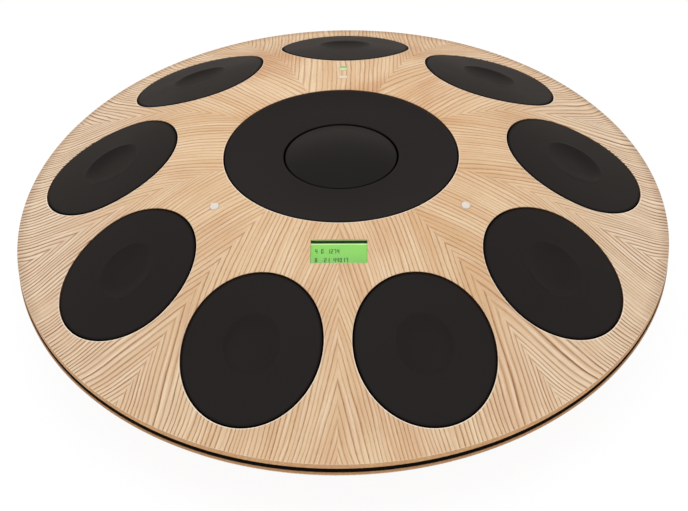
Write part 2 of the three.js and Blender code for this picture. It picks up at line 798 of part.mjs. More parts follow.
function chargeSocket() {
  const sleeve = along(chargeShape(0), socketShoulder - JOIN_DEPTH, bayFace, ROUND_STEPS / 2);
  const body = along(
    rectangle(
      CHARGE_WIDTH + 2 * SOCKET_SHOULDER,
      CHARGE_HEIGHT + 2 * SOCKET_SHOULDER,
      socketSpots.charge,
      0,
    ),
    socketInner,
    socketShoulder,
  );
  const mouth = along(
    chargeShape(-CHARGE_WALL),
    socketInner + SOCKET_BACK,
    bayFace + SOCKET_RISE,
    ROUND_STEPS / 2,
  );
  return cut(join(sleeve, body), mouth);
}

function headphoneSocket() {
  const x = socketSpots.jack;
  const barrel = along(
    oval(JACK_BARREL_RADIUS, JACK_BARREL_RADIUS, x, 0),
    socketShoulder - JOIN_DEPTH,
    socketOuter,
  );
  const body = along(rectangle(JACK_BODY_WIDTH, JACK_BODY_HEIGHT, x, 0), socketInner, socketShoulder);
  const bore = along(
    oval(JACK_BORE_RADIUS, JACK_BORE_RADIUS, x, 0),
    socketInner + SOCKET_BACK,
    socketOuter + SOCKET_RISE,
  );
  return cut(join(barrel, body), bore);
}

function socketBay() {
  const block = common(bayBlock(0), overBase(0));
  const shape = rectangle(BAY_WIDTH, bayRoom, 0, bayFace + bayRoom / 2);
  const pocket = prism(shape, -2, bayRoof);
  const jackHole = oval(JACK_BARREL_RADIUS + SEAT_GAP, JACK_BARREL_RADIUS + SEAT_GAP, socketSpots.jack, 0);
  const through = [bayFace - 2 * BAY_WALL, bayFace + BAY_WALL];
  return cut(
    block,
    pocket,
    along(jackHole, ...through),
    along(chargeShape(SEAT_GAP), ...through, ROUND_STEPS / 2),
  );
}

function bottomShell() {
  const outer = hung(layer(baseLine, baseRise, 0));
  const [rim, edge] = outer.pop();
  const chamferStart = rim - BASE_CHAMFER;
  outer.push([chamferStart, baseHeightAt(chamferStart, 0)], [rim, edge + BASE_CHAMFER]);
  const inner = hung(layer(baseLine, baseRise, SHELL_WALL)).reverse();
  const shell = turn([...outer, ...inner], TURN_STEPS);
  const tools = [bayBlock(SEAT_GAP)];
  const mouth = grilleRadius + SEAT_GAP;
  tools.push(prism(oval(mouth, mouth), -1, seamLow, undefined, OVAL_STEPS));
  for (let index = 0; index < PAD_COUNT; index += 1) {
    tools.push(screwPost(index, SCREW_HEAD_RADIUS + SCREW_HEAD_GAP, -1, screwSeat));
    tools.push(screwPost(index, SCREW_SHANK_RADIUS + SEAT_GAP, -1, seamHigh));
  }
  return cut(shell, ...tools);
}

// Loudspeaker: frame, basket and magnet in one turned body, with the cone's hollow facing down.
const floorHigh = FOOT_HEIGHT + SHELL_WALL + SEAT_GAP;
const grilleRadius = SPEAKER_RADIUS - GRILLE_LAP;
const grilleInner = grilleRadius - GRILLE_RIM;

function speakerDriver() {
  const high = floorHigh + SPEAKER_HEIGHT;
  const cone = floorHigh + CONE_DEPTH;
  const flange = floorHigh + SPEAKER_FLANGE;
  return turn([
    [0, cone - DUST_CAP_RISE],
    [DUST_CAP_RADIUS, cone],
    [grilleInner - SURROUND_WIDTH, flange],
    [grilleInner - SURROUND_WIDTH / 2, flange - SURROUND_RISE],
    [grilleInner, flange],
    [grilleInner, floorHigh],
    [SPEAKER_RADIUS, floorHigh],
    [SPEAKER_RADIUS, flange],
    [grilleRadius, flange],
    [MAGNET_RADIUS, high - MAGNET_HEIGHT],
    [MAGNET_RADIUS, high],
    [0, high],
  ], 2 * OVAL_STEPS);
}

function speakerGrille() {
  const low = FOOT_HEIGHT;
  const high = floorHigh - SEAT_GAP;
  const cup = turn([
    [0, low],
    [grilleRadius, low],
    [grilleRadius, high],
    [grilleInner, high],
    [grilleInner, low + GRILLE_THICKNESS],
    [0, low + GRILLE_THICKNESS],
  ], 2 * OVAL_STEPS);
  const slots = [];
  const end = grilleInner - GRILLE_MARGIN;
  for (let index = 0; index < 2 * PAD_COUNT; index += 1) {
    const length = index % 2 ? SHORT_SLOT : LONG_SLOT;
    const shape = rectangle(SLOT_WIDTH, length, 0, end - length / 2);
    const spin = new THREE.Matrix4().makeRotationZ(index * padStep / 2);
    slots.push(prism(shape, 0, low + 2 * GRILLE_THICKNESS, spin));
  }
  return cut(cup, ...slots);
}

function foot(index) {
  const outline = [
    [0, 0],
    [FOOT_RADIUS - FOOT_CHAMFER, 0],
    [FOOT_RADIUS, FOOT_CHAMFER],
    [FOOT_RADIUS, FOOT_HEIGHT - SEAT_GAP],
    [0, FOOT_HEIGHT - SEAT_GAP],
  ];
  const ring = BASE_FLAT_RADIUS - FOOT_RADIUS - FOOT_INSET;
  const angle = 2 * Math.PI * (index + 0.5) / FOOT_COUNT;
  const geometry = toGeometry(turn(outline, 2 * ROUND_STEPS));
  geometry.translate(ring * Math.sin(angle), ring * Math.cos(angle), 0);
  return toSolid(geometry);
}

function mainBoard() {
  const low = boardHigh - BOARD_THICKNESS;
  const plate = prism(rectangle(BOARD_WIDTH, BOARD_LENGTH), low, boardHigh);
  // Component blocks, as shares of the board: width, length, middle across, middle along, height in chips
  const blocks = [
    [0.13, 0.21, -0.16, 0.07, 1],
    [0.17, 0.14, 0.14, 0.17, 1.2],
    [0.09, 0.24, 0.34, -0.12, 3],
    [0.21, 0.1, -0.21, -0.31, 2.5],
    [0.07, 0.12, 0.04, -0.24, 4.5],
    [0.07, 0.12, 0.15, -0.24, 4.5],
  ].map(([width, length, across, along, height]) => prism(
    rectangle(BOARD_WIDTH * width, BOARD_LENGTH * length, BOARD_WIDTH * across, BOARD_LENGTH * along),
    low - CHIP_HEIGHT * height,
    low + BOARD_THICKNESS / 2,
  ));
  return join(plate, ...blocks);
}

function batteryPack() {
  const middle = -(SPEAKER_RADIUS + BATTERY_SPACE + BATTERY_LENGTH / 2);
  return prism(
    softRectangle(BATTERY_WIDTH, BATTERY_LENGTH, BATTERY_CORNER, 0, middle),
    floorHigh,
    floorHigh + BATTERY_HEIGHT,
    undefined,
    3,
  );
}

const instrument = new THREE.Group();
instrument.name = 'digital_handpan';

function add(name, solid, color, roughness = 0.6) {
  const material = new THREE.MeshStandardMaterial({ color, roughness });
  material.name = `${name}_material`;
  const mesh = new THREE.Mesh(toGeometry(solid), material);
  mesh.name = name;
  instrument.add(mesh);
}

const WOOD = 0xddbf99;
const BLACK = 0x2b2928;
const WHITE = 0xeeeeea;
const BOARD_GREEN = 0x2f5f46;

add('top_shell', topShell(), WOOD);
add('bottom_shell', bottomShell(), WOOD);
add('rim_hoop', rimHoop(), 0x161514);
const pad = tonePad();
const sensor = toneSensor();
for (let index = 0; index < PAD_COUNT; index += 1) {
  add(`tone_pad_${index + 1}`, turned(pad, -index * padStep), BLACK, 0.7);
}
add('ding_pad', dingPad(), BLACK, 0.7);
add('ding_dome', dingDome(), BLACK, 0.7);
add('sensor_tray', sensorTray([
  trayClearance(frontPlace, moduleWidth, moduleLength),
  trayClearance(leftPlace, plateWidth, sideLength),
  trayClearance(rightPlace, plateWidth, sideLength),
  trayClearance(rearPlace, plateWidth, rearLength),
]), 0x6a6c70);
for (let index = 0; index < PAD_COUNT; index += 1) {
  add(`tone_sensor_${index + 1}`, turned(sensor, -index * padStep), 0xb9924a, 0.4);
}
add('ding_sensor', dingSensor(), 0xb9924a, 0.4);
add('dome_sensor', domeSensor(), 0xb9924a, 0.4);
add('display_window', displayWindow(), 0xdfe9df, 0.1);
add('display_module', displayModule(), 0x8fdc69, 0.3);
add('left_button', button(leftPlace), WHITE, 0.4);
add('right_button', button(rightPlace), WHITE, 0.4);
add('left_switch', switchPlate(leftPlace, sideLength, [0]), BOARD_GREEN);
add('right_switch', switchPlate(rightPlace, sideLength, [0]), BOARD_GREEN);
add('power_button', button(rearPlace, REAR_SPACING / 2), 0x8fe08c, 0.3);
add('charge_light', chargeLight(), WHITE, 0.4);
add('rear_switch', switchPlate(rearPlace, rearLength, rearSpots), BOARD_GREEN);
add('main_board', mainBoard(), BOARD_GREEN);
add('battery_pack', batteryPack(), 0x3a66a8);
add('speaker_driver', speakerDriver(), 0x3a3a3c);
add('speaker_grille', speakerGrille(), BLACK);
add('socket_bay', socketBay(), BLACK);
add('charge_socket', chargeSocket(), 0xb8bcc0, 0.3);
add('headphone_socket', headphoneSocket(), 0x1e1e1f);
for (let index = 0; index < FOOT_COUNT; index += 1) add(`foot_${index + 1}`, foot(index), 0x202020, 0.9);
for (let index = 0; index < PAD_COUNT; index += 1) {
  add(`case_screw_${index + 1}`, caseScrew(index), 0x8d9093, 0.3);
}

export default instrument;
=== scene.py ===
import math

import bmesh
import bpy
import numpy as np
from mathutils import Matrix, Vector
from mathutils.geometry import delaunay_2d_cdt
from mathutils.kdtree import KDTree


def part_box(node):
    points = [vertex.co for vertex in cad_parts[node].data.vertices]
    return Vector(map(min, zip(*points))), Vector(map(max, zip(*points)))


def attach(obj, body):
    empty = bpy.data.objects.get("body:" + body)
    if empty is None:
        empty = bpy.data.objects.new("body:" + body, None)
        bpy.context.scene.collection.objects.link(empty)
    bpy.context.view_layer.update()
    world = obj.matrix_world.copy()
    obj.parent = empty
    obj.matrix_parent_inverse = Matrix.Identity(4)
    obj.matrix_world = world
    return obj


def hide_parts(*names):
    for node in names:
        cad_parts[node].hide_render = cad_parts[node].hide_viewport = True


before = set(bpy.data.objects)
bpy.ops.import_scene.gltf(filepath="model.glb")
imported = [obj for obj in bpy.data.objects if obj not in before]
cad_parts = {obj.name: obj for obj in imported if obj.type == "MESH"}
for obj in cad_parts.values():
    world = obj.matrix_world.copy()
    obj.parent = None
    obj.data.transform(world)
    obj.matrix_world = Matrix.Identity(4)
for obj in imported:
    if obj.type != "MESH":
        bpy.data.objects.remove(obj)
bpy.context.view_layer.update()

MM = 0.001

# Shells of moulded veneer; +Y is the back, -Y the player's side
SHELL_WALL = 4.2 * MM
BRIM_WIDTH = 15.6 * MM
BRIM_SLOPE = math.radians(14.3)
CROWN_END = 61.7 * MM
CROWN_BEND = 960 * MM
SHOULDER_BEND = 253.5 * MM
FLANK_SLOPE = math.radians(30.7)
BASE_FLAT = 118 * MM
BASE_BEND = 110 * MM
BASE_SLOPE = math.radians(25.5)
BASE_CHAMFER = 1.9 * MM
CHAMFER_SOFT = 0.4 * MM
EDGE_ROUND = 0.5 * MM
EDGE_COLLAR = 0.4 * MM
SEAM_ROUND = 0.15 * MM

# Pads
PAD_COUNT = 9
SECTOR = 2 * math.pi / PAD_COUNT
PAD_WIDTH = 99.4 * MM
PAD_GAP = 0.9 * MM
PAD_INSET = 0.2 * MM
PAD_ROUND = 1.0 * MM
SLIT_SHADE_WIDTH = 0.5 * MM
PAD_UNDERSIDE = 8 * MM
SLIT_SHADE_FAINT = 0.35
DIMPLE_RADIUS = 20 * MM
DIMPLE_DEPTH = 4.4 * MM
DIMPLE_CURVE = 3.4
DIMPLE_BEAD = 0.15 * MM
BEAD_SPREAD = 0.12
DIMPLE_SHIFT = 2 * MM
FLANGE_WIDTH = 3 * MM
FLANGE_GAP = 0.4 * MM
DING_LENGTH = 170 * MM
DING_WIDTH = 149.2 * MM
DING_FLAT_SHARE = 0.35
CONTROL_BAND = 48.7 * MM
DOME_LENGTH = 80.6 * MM
DOME_GAP = 1.1 * MM
DOME_SINK = 0.6 * MM
DOME_CURVE = 2.2
POLE = 0.5 * MM

# Controls
DISPLAY_WIDTH = 39.5 * MM
DISPLAY_LENGTH = 20 * MM
DISPLAY_SHIFT = 0.7 * MM
DISPLAY_LIP = 1.9 * MM
DISPLAY_CORNER = 0.8 * MM
FAR_STRIP = 0.3 * MM
STRIP_SHORTER = 1.2 * MM
STRIP_CORNER = 0.1 * MM
STRIP_BEVEL = 0.05 * MM
GUIDE_SINK = 0.3 * MM
WINDOW_RECESS = 2.4 * MM
WINDOW_LIFT = 0.2 * MM
PANE_GAP = 0.1 * MM
PANE_BEVEL = 0.1 * MM
PANEL_RECESS = 3.2 * MM
PANEL_THICKNESS = 3 * MM
BUTTON_RADIUS = 3.3 * MM
BUTTON_RISE = 0.3 * MM
BUTTON_GAP = 0.15 * MM
BUTTON_ROUND = 0.35 * MM
BUTTON_FLANGE = 1.4 * MM
BUTTON_DROP = 1.2 * MM
BUTTON_POLE = 0.3 * MM
BUTTON_CROWN = 0.15 * MM
BUTTON_BROW = 0.1 * MM
BROW_INSET = 1.6 * MM
CONTROL_ROUND = 0.2 * MM
REAR_SPACING = 15 * MM
REAR_SHIFT = 1.5 * MM
LENS_WIDTH = 6.4 * MM
LENS_LENGTH = 4.6 * MM
LENS_CORNER = 0.8 * MM
LENS_GAP = 0.12 * MM
LENS_RISE = 0.05 * MM

# Base
GRILLE_RADIUS = 46 * MM
GRILLE_GAP = 0.3 * MM
GRILLE_RIM = 2 * MM
GRILLE_MARGIN = 4 * MM
GRILLE_THICKNESS = 1.5 * MM
GRILLE_ROUND = 0.5 * MM
SLOT_WIDTH = 4 * MM
SLOT_BEVEL = 0.3 * MM
SLOT_CORNER = SLOT_WIDTH / 2.02
LONG_SLOT = 25.6 * MM
SHORT_SLOT = 16 * MM
SCREW_HEAD_RADIUS = 3.6 * MM
SCREW_HEAD_HEIGHT = 2.2 * MM
SCREW_SHANK_RADIUS = 1.8 * MM
SCREW_HEAD_GAP = 0.6 * MM
SCREW_SOCKET = 2.5 * MM
SCREW_BEVEL = 0.2 * MM
BAY_WIDTH = 90 * MM
BAY_WALL = 3 * MM
SEAT_GAP = 0.3 * MM
TONGUE_WIDTH = 6.4 * MM
TONGUE_THICKNESS = 0.7 * MM
TONGUE_ROOT = 9 * MM
TONGUE_RECESS = 0.8 * MM
# Radius and height of the plated mouth's corners, in millimetres
BUSH_PROFILE = (
    (2.9, -4.0), (2.9, 0.1), (3.1, 0.3), (4.2, 0.3), (4.4, 0.1), (4.4, 0.02), (3.15, 0.02), (3.15, -4.0),
)
FOOT_COUNT = 4

# Fineness of the meshes
FACE_SPACING = 5 * MM
INSIDE_SPACING = 11 * MM
GRILLE_SPACING = 4 * MM
RIM_POINTS = 288
PAD_POINTS = 120
PAD_TOP_RINGS = 43
PAD_WALL_RINGS = 9
PAD_EDGE_PART = 2 / 3
DING_POINTS = 180
DOME_POINTS = 144
GRILLE_POINTS = 144
SMALL_POINTS = 48
HOLE_POINTS = 32
SCREW_HOLE_POINTS = 24
SCREW_POINTS = 36
BAY_POINTS = 24
ARC_SAMPLES = 80
EDGE_STEPS = 4
CORNER_STEPS = 5
RECTANGLE_STEPS = 6
MEET_STEPS = 12
MEET_STRIDE = 0.85
GRID_ROW = 0.87
GRID_CLEARANCE = 0.6
WELD = 0.002 * MM
SHARP_EDGE = math.radians(40)

# The photograph's camera, round the middle of the rim
PHOTO_WIDTH, PHOTO_HEIGHT = 688, 511
FOCAL_PIXELS = 2498.4
SENSOR_WIDTH = 36
CAMERA_DISTANCE = 1.8504
CAMERA_AZIMUTH = math.radians(1.740)
CAMERA_ELEVATION = math.radians(41.590)
CAMERA_ROLL = math.radians(-1.347)
RIM_MIDDLE_PIXEL = (343.35, 230.69)

rim_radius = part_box("top_shell")[1].x
seam_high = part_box("top_shell")[0].z
seam_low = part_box("bottom_shell")[1].z
base_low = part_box("bottom_shell")[0].z


def middle(node):
    """The middle of a solid's box."""
    low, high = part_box(node)
    return (low + high) / 2


def srgb(*colour):
    """Linear colour of an 8-bit one."""
    shares = [value / 255 for value in colour]
    return *(s / 12.92 if s <= 0.04045 else ((s + 0.055) / 1.055) ** 2.4 for s in shares), 1.0


def maths(operation, flipped=False):
    """A method that adds a Math node; flipped where the socket comes last."""
    def method(self, *others):
        values = (*others, self) if flipped else (self, *others)
        return self.graph.node("ShaderNodeMath", dict(enumerate(values)), operation=operation)
    return method


class Socket:
    """An output of a node; arithmetic on it adds Math nodes to its tree."""

    def __init__(self, graph, link):
        self.graph = graph
        self.link = link

    __add__ = __radd__ = maths("ADD")
    __sub__, __rsub__ = maths("SUBTRACT"), maths("SUBTRACT", flipped=True)
    __mul__ = __rmul__ = maths("MULTIPLY")
    __truediv__, __rtruediv__ = maths("DIVIDE"), maths("DIVIDE", flipped=True)
    __pow__, __mod__ = maths("POWER"), maths("FLOORED_MODULO")
    __lt__, __gt__ = maths("LESS_THAN"), maths("GREATER_THAN")
    least, most = maths("MINIMUM"), maths("MAXIMUM")
    sin, cos, tan, angle_to = maths("SINE"), maths("COSINE"), maths("TANGENT"), maths("ARCTAN2")
    root, floor = maths("SQRT"), maths("FLOOR")

    def ease(self, low, high):
        """0 at low, 1 at high and smooth in between."""
        sockets = {"Value": self, "From Min": low, "From Max": high}
        return self.graph.node("ShaderNodeMapRange", sockets, interpolation_type="SMOOTHSTEP")


class Graph:
    """A node tree under construction; every node comes from node()."""

    def __init__(self, tree):
        self.tree = tree
        tree.nodes.clear()

    def node(self, kind, sockets=(), output=0, items=0, **settings):
        """A node with its settings and sockets: one output, several for a tuple, or the node for None."""
        made = self.tree.nodes.new(kind)
        for name, value in settings.items():
            setattr(made, name, value)
        for _ in range(items):
            made.index_switch_items.new()
        for key, value in dict(sockets).items():
            for part in reversed(value) if isinstance(value, list) else [value]:
                if isinstance(part, Socket):
                    self.tree.links.new(part.link, made.inputs[key])
                else:
                    made.inputs[key].default_value = part
        if isinstance(output, tuple):
            return [Socket(self, made.outputs[key]) for key in output]
        return made if output is None else Socket(self, made.outputs[output])

    def vector(self, x, y, z):
        return self.node("ShaderNodeCombineXYZ", {0: x, 1: y, 2: z})

    def split(self, vector):
        return self.node("ShaderNodeSeparateXYZ", {0: vector}, output=(0, 1, 2))

    def noise(self, vector, scale=1.0, detail=2.0, roughness=0.5):
        sockets = {"Vector": vector, "Scale": scale, "Detail": detail, "Roughness": roughness}
        return self.node("ShaderNodeTexNoise", sockets, output="Fac")

    def blend(self, factor, first, second):
        """A colour between two others."""
        return self.node("ShaderNodeMix", {0: factor, 6: first, 7: second}, output=2, data_type="RGBA")

    def coats(self, colour, *coats):
        """A colour with others laid over it, each by its own share."""
        for share, coat in coats:
            colour = self.blend(share, colour, coat)
        return colour

    def attribute(self, name):
        return self.node("ShaderNodeAttribute", output="Fac", attribute_name=name)

    def pick(self, index, values):
        """One of several values, by its place in the list."""
        sockets = {"Index": index, **{place + 1: value for place, value in enumerate(values)}}
        return self.node("GeometryNodeIndexSwitch", sockets, items=len(values) - 2, data_type="FLOAT")


class Finish(Graph):
    """A surface finish: a Principled shader fed by the nodes of its tree."""

    def __init__(self, name, **constants):
        self.material = bpy.data.materials.new(name)
        self.material.use_nodes = True
        super().__init__(self.material.node_tree)
        fixed = {key.replace("_", " "): value for key, value in constants.items()}
        self.shader = self.node("ShaderNodeBsdfPrincipled", fixed, output=None)
        self.bare = Socket(self, self.shader.outputs[0])
        end = self.node("ShaderNodeOutputMaterial", {"Surface": self.bare}, output=None)
        self.surface = end.inputs["Surface"]
        coordinates = self.node("ShaderNodeTexCoord", output="Object")
        self.place = self.node("ShaderNodeVectorMath", {0: coordinates, 3: 1 / MM}, operation="SCALE")

    def feed(self, **sockets):
        for key, value in sockets.items():
            self.tree.links.new(value.link, self.shader.inputs[key.replace("_", " ")])

    def paint_shade(self, share, colour):
        """Lays a dull dark coat over part of the surface: painted shade."""
        dull = self.node("ShaderNodeBsdfDiffuse", {"Color": colour})
        mixed = self.node("ShaderNodeMixShader", {0: share, 1: self.bare, 2: dull})
        self.tree.links.new(mixed.link, self.surface)

    def bump(self, height, distance, strength):
        return self.node("ShaderNodeBump", {"Height": height, "Distance": distance, "Strength": strength})


def ash_veneer():
    """Nine leaves of straight-grained ash, one round each pad, mirrored at the seams between them."""
    finish = Finish("ash_veneer", Coat_Roughness=0.35, Specular_IOR_Level=0.7)

    def figure(across, along, layer, **kind):
        return finish.noise(finish.vector(across, along, layer), **kind)

    x, y, z = finish.split(finish.place)
    rim = rim_radius / MM
    radius = (x * x + y * y).root()
    turns = x.angle_to(y) / SECTOR + 0.5
    leaf = turns.floor()
    angle = (turns - leaf - 0.5) * SECTOR
    order = (leaf - 1) % PAD_COUNT
    side = 1 - 2 * (order % 2)
    across = radius * angle.sin() * side
    along = radius * angle.cos()

    # Yearly lines: a dark porous start, then dense wood
    sweep = figure(across / 75, along / 190, order * 0.21, detail=1.0) - 0.5
    ripple = figure(across / 9, along / 38, order * 0.37, detail=3.0) - 0.5
    grain = across + sweep * 30 + ripple * 2.6
    crowding = figure(grain / 38, along / 600, 3.1, detail=1.0)
    years = grain / 3.3 + crowding * 6
    year = years.floor()
    part = years - year
    chance = finish.node("ShaderNodeTexWhiteNoise", {"W": year}, noise_dimensions="1D")
    strength = 0.48 + 0.52 * chance
    early = (1 - part.ease(0.08, 0.42)) * part.ease(0.0, 0.06)
    late = part.ease(0.3, 1.0)
    gap = part.ease(0.4, 0.6) * (1 - part.ease(0.85, 1.0))
    fibre = figure(grain / 0.55, along / 30, 0.0, detail=3.0, roughness=0.6)
    pores = figure(grain / 0.35, along / 4.5, 7.0, detail=2.0, roughness=0.7)
    pore = pores.ease(0.48, 0.66) * (early * 0.8 + 0.2)

    # Broader changes: bands, clouds, and what differs between the sides, the back and the rim: paler sides as
    # painted sheen, a darker rim at the sides and back as painted shade
    band = figure(grain / 15, along / 240, order * 0.4, detail=2.0)
    cloud = figure(across / 55, along / 60, order * 1.7, detail=2.0)
    streak = figure(grain / 1.9, along / 45, 11.0, detail=1.0)
    patch = figure(across / 34, along / 60, order * 2.3, detail=1.0)
    aside = (x / radius) ** 2
    front = (y / radius * -1).ease(0.1, 0.75)
    flame = (y / radius).ease(0.2, 0.9) * (1 - radius.ease(150, 210)) * cloud.ease(0.45, 0.7)
    outer = radius.ease(rim - 90, rim - 8) * (0.3 + aside)
    clear = 1 - patch.ease(0.5, 0.66) * outer.least(1) * 0.65
    line = finish.blend(outer, srgb(166, 106, 56), srgb(132, 82, 44))

    # Cut edges: walls of the openings painted dark brown as painted shade, plies at the rim
    depth, pale = finish.attribute("depth"), finish.attribute("pale")
    plies = (depth * 7).floor() % 2
    mottle = figure(x / 2.5, y / 2.5, z / 0.6, detail=3.0)
    at_rim = radius.ease(rim - 2.6, rim - 1.4)
    wall = finish.blend(plies * 0.5 + mottle * 0.4, srgb(128, 78, 40), srgb(84, 48, 22))
    ply = finish.coats(
        srgb(232, 182, 126),
        ((plies * 0.3 + mottle * 1.6) - 0.6, srgb(164, 106, 60)),
        # Painted shade: the base's edge, below the seam, darker
        ((z < seam_low / MM) * 0.5, srgb(150, 100, 62)),
    )

    tone = finish.coats(
        srgb(239, 211, 171),
        (band.ease(0.3, 0.7), srgb(224, 183, 136)),
        (cloud.ease(0.42, 0.75) * 0.55, srgb(216, 168, 124)),
        # Painted sheen: the leaves are paler towards the sides
        (aside * radius.ease(100, 220) * 0.5, srgb(234, 216, 194)),
        (flame * 0.6, srgb(204, 146, 92)),
        ((fibre - 0.32) * 1.1, srgb(192, 148, 104)),
        (late * 0.16, srgb(206, 164, 120)),
        # Painted shade: darker towards the rim at the sides and the back, not at the front
        (radius.ease(rim - 9.5, rim) * (1 - front) * 0.62, srgb(157, 123, 91)),
        (streak.ease(0.5, 0.72) * (0.25 + outer * 0.2), srgb(252, 234, 210)),
        (gap * clear * outer * 0.25, srgb(252, 234, 210)),
        (early * clear * (strength + outer * 0.15) * (0.76 + outer * 0.24), line),
        (pore * strength * 0.7, srgb(128, 78, 38)),
        # Painted highlight: the openings' rounded edges paler on the player's side
        (depth.ease(0.008, 0.035) * pale * 0.8, srgb(252, 240, 222)),
        # Painted highlight along the rim's rounded arris
        (depth.ease(0.01, 0.05) * at_rim * 0.35, srgb(250, 226, 196)),
        # Walls of the openings: dark brown, painted shade inside the openings; the rim shows its plies
        (depth.ease(0.085, 0.13), finish.blend(at_rim, wall, ply)),
    )
    finish.feed(
        Base_Color=tone,
        Roughness=0.46 + early * 0.1 + (fibre - 0.5) * 0.1,
        Coat_Weight=0.12 - early * 0.06,
        Normal=finish.bump(fibre * 0.3 - early * 0.5 - pore, 0.06 * MM, 0.5),
    )
    return finish.material


def moulded(name, colour, other, roughness, grain=0.6, relief=0.03, lip=None, **constants):
    """Moulded plastic or rubber: a fine matt grain, faint clouding, and on pads a dark band along the slit,
    painted shade of the gap.
    """
    finish = Finish(name, **constants)
    cloud = finish.noise(finish.place, scale=0.03, detail=3.0)
    fine = finish.noise(finish.place, scale=1 / grain, detail=2.0, roughness=0.6)
    finish.feed(
        Base_Color=finish.blend(cloud * 0.7 + fine * 0.3, srgb(*colour), srgb(*other)),
        Roughness=roughness + (cloud - 0.5) * 0.12 + (fine - 0.5) * 0.08,
        Normal=finish.bump(fine, relief * MM, 0.5),
    )
    # Painted shade along the pads' slit, darkest at the edge
    if lip:
        finish.paint_shade(finish.attribute("depth") * 0.95, srgb(*lip))
    return finish.material


def lit(name, strength, colour, other, spread, bands=(), unlit=(30, 40, 30), share=0.5):
    """A lit surface, a little brighter in places, with bands of other colours along Y."""
    finish = Finish(name, Emission_Strength=strength)
    glow = finish.noise(finish.place, scale=1 / spread, detail=1.0)
    shade = finish.blend(glow, srgb(*colour), srgb(*other))
    for first, last, weight, band in bands:
        y = finish.split(finish.place)[1]
        shade = finish.blend(y.ease(first, last) * weight, shade, srgb(*band))
    finish.feed(
        Base_Color=finish.blend(share, shade, srgb(*unlit)),
        Emission_Color=shade,
        Roughness=0.3 + glow * 0.1,
    )
    return finish.material


def brushed(name, colour, other, roughness):
    """Plated or turned metal with fine scratches."""
    finish = Finish(name, Metallic=1.0)
    x, y, z = finish.split(finish.place)
    scratch = finish.noise(finish.vector(x / 0.2, y / 4, z / 0.2), detail=3.0, roughness=0.7)
    wear = finish.noise(finish.place, scale=0.3, detail=3.0)
    finish.feed(
        Base_Color=finish.blend(wear, srgb(*colour), srgb(*other)),
        Roughness=roughness + scratch * 0.15,
        Normal=finish.bump(scratch, 0.02 * MM, 0.4),
    )
    return finish.material


def circuit_green():
    """Solder mask with copper tracks under it."""
    finish = Finish("circuit_green", Specular_IOR_Level=0.5)
    x, y, _ = finish.split(finish.place)
    cells = finish.vector((x / 3).floor(), (y / 3).floor(), 0.0)
    heading = finish.node("ShaderNodeTexWhiteNoise", {"Vector": cells})
    lane = ((heading > 0.5) * x + (heading < 0.5) * y) / 1.27
    track = (lane - lane.floor()).ease(0.62, 0.7)
    grime = finish.noise(finish.place, scale=0.2, detail=3.0)
    mask = finish.blend(grime, srgb(22, 82, 52), srgb(34, 100, 62))
    finish.feed(
        Base_Color=finish.blend(track * 0.6, mask, srgb(88, 140, 84)),
        Roughness=0.35 + grime * 0.15,
        Normal=finish.bump(track, 0.03 * MM, 0.5),
    )
    return finish.material


def clear_glass():
    """Clear window with faint smears."""
    finish = Finish("clear_glass", Transmission_Weight=1.0, IOR=1.3)
    smear = finish.noise(finish.place, scale=0.15, detail=4.0)
    finish.feed(
        Base_Color=finish.blend(smear, (0.95, 1.0, 0.95, 1), (0.9, 0.97, 0.9, 1)),
        Roughness=0.005 + smear.ease(0.55, 0.9) * 0.02,
    )
    return finish.material


WOOD = ash_veneer()
# Both carry a near-black painted shade along the slit between pad and wood
PAD_RUBBER, DOME_RUBBER = (
    moulded(name, colour, other, 0.45, grain=1 / 2.2, lip=(12, 8, 6), Specular_IOR_Level=gloss)
    for name, colour, other, gloss in (
        ("pad_rubber", (35, 32, 31), (38, 35, 34), 0.12),
        ("dome_rubber", (29, 27, 26), (32, 30, 29), 0.25),
    )
)
BLACK_PLASTIC = moulded("black_plastic", (16, 15, 15), (24, 23, 22), 0.5, Specular_IOR_Level=0.3)
SEAM_BLACK = moulded("seam_black", (8, 7, 7), (12, 11, 10), 0.7, Specular_IOR_Level=0.08)
FAR_WALL_SHADE = moulded("seal_green", (18, 40, 12), (24, 50, 16), 0.6, Specular_IOR_Level=0.1)
GUIDE_GREEN = moulded("guide_green", (168, 196, 128), (178, 204, 138), 0.5)
TRAY_GREY = moulded("tray_grey", (98, 100, 104), (112, 114, 117), 0.5)
SENSOR_FILM = moulded("sensor_film", (190, 148, 72), (206, 166, 92), 0.35, Metallic=0.4)
FOOT_RUBBER = moulded("foot_rubber", (30, 30, 30), (42, 41, 40), 0.8, relief=0.08)
WHITE_PLASTIC = moulded("white_plastic", (228, 218, 208), (218, 207, 195), 0.45, relief=0.01)
BATTERY_FILM = moulded("battery_film", (42, 84, 150), (54, 100, 168), 0.35)
SPEAKER_BLACK = moulded("speaker_black", (36, 36, 38), (50, 50, 52), 0.55)
LENS_PALE = moulded("lens_pale", (230, 208, 186), (222, 198, 174), 0.4, relief=0.01)
STEEL = brushed("screw_steel", (150, 150, 152), (120, 120, 122), 0.3)
PLATING = brushed("socket_plating", (205, 206, 208), (180, 181, 184), 0.2)
CIRCUIT = circuit_green()
GLASS = clear_glass()

# The display has a pale band along its far edge, where its lamps stand, as painted highlight, and at the edge
# a dark band, painted shadow of the recess's far wall
window_near, window_far = (corner.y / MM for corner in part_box("display_window"))
LCD_GREEN = lit("lcd_green", 0.75, (128, 196, 80), (138, 204, 88), 20, (
    (window_far, window_near, 0.8, (118, 180, 84)),
    (window_far - 2.6, window_far - 1.8, 0.8, (220, 245, 180)),
    (window_far - 1.5, window_far - 1.2, 1.0, (14, 44, 6)),
))
LCD_DARK = lit("lcd_dark", 0.05, (8, 30, 4), (12, 36, 6), 20)
power_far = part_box("power_button")[1].y / MM
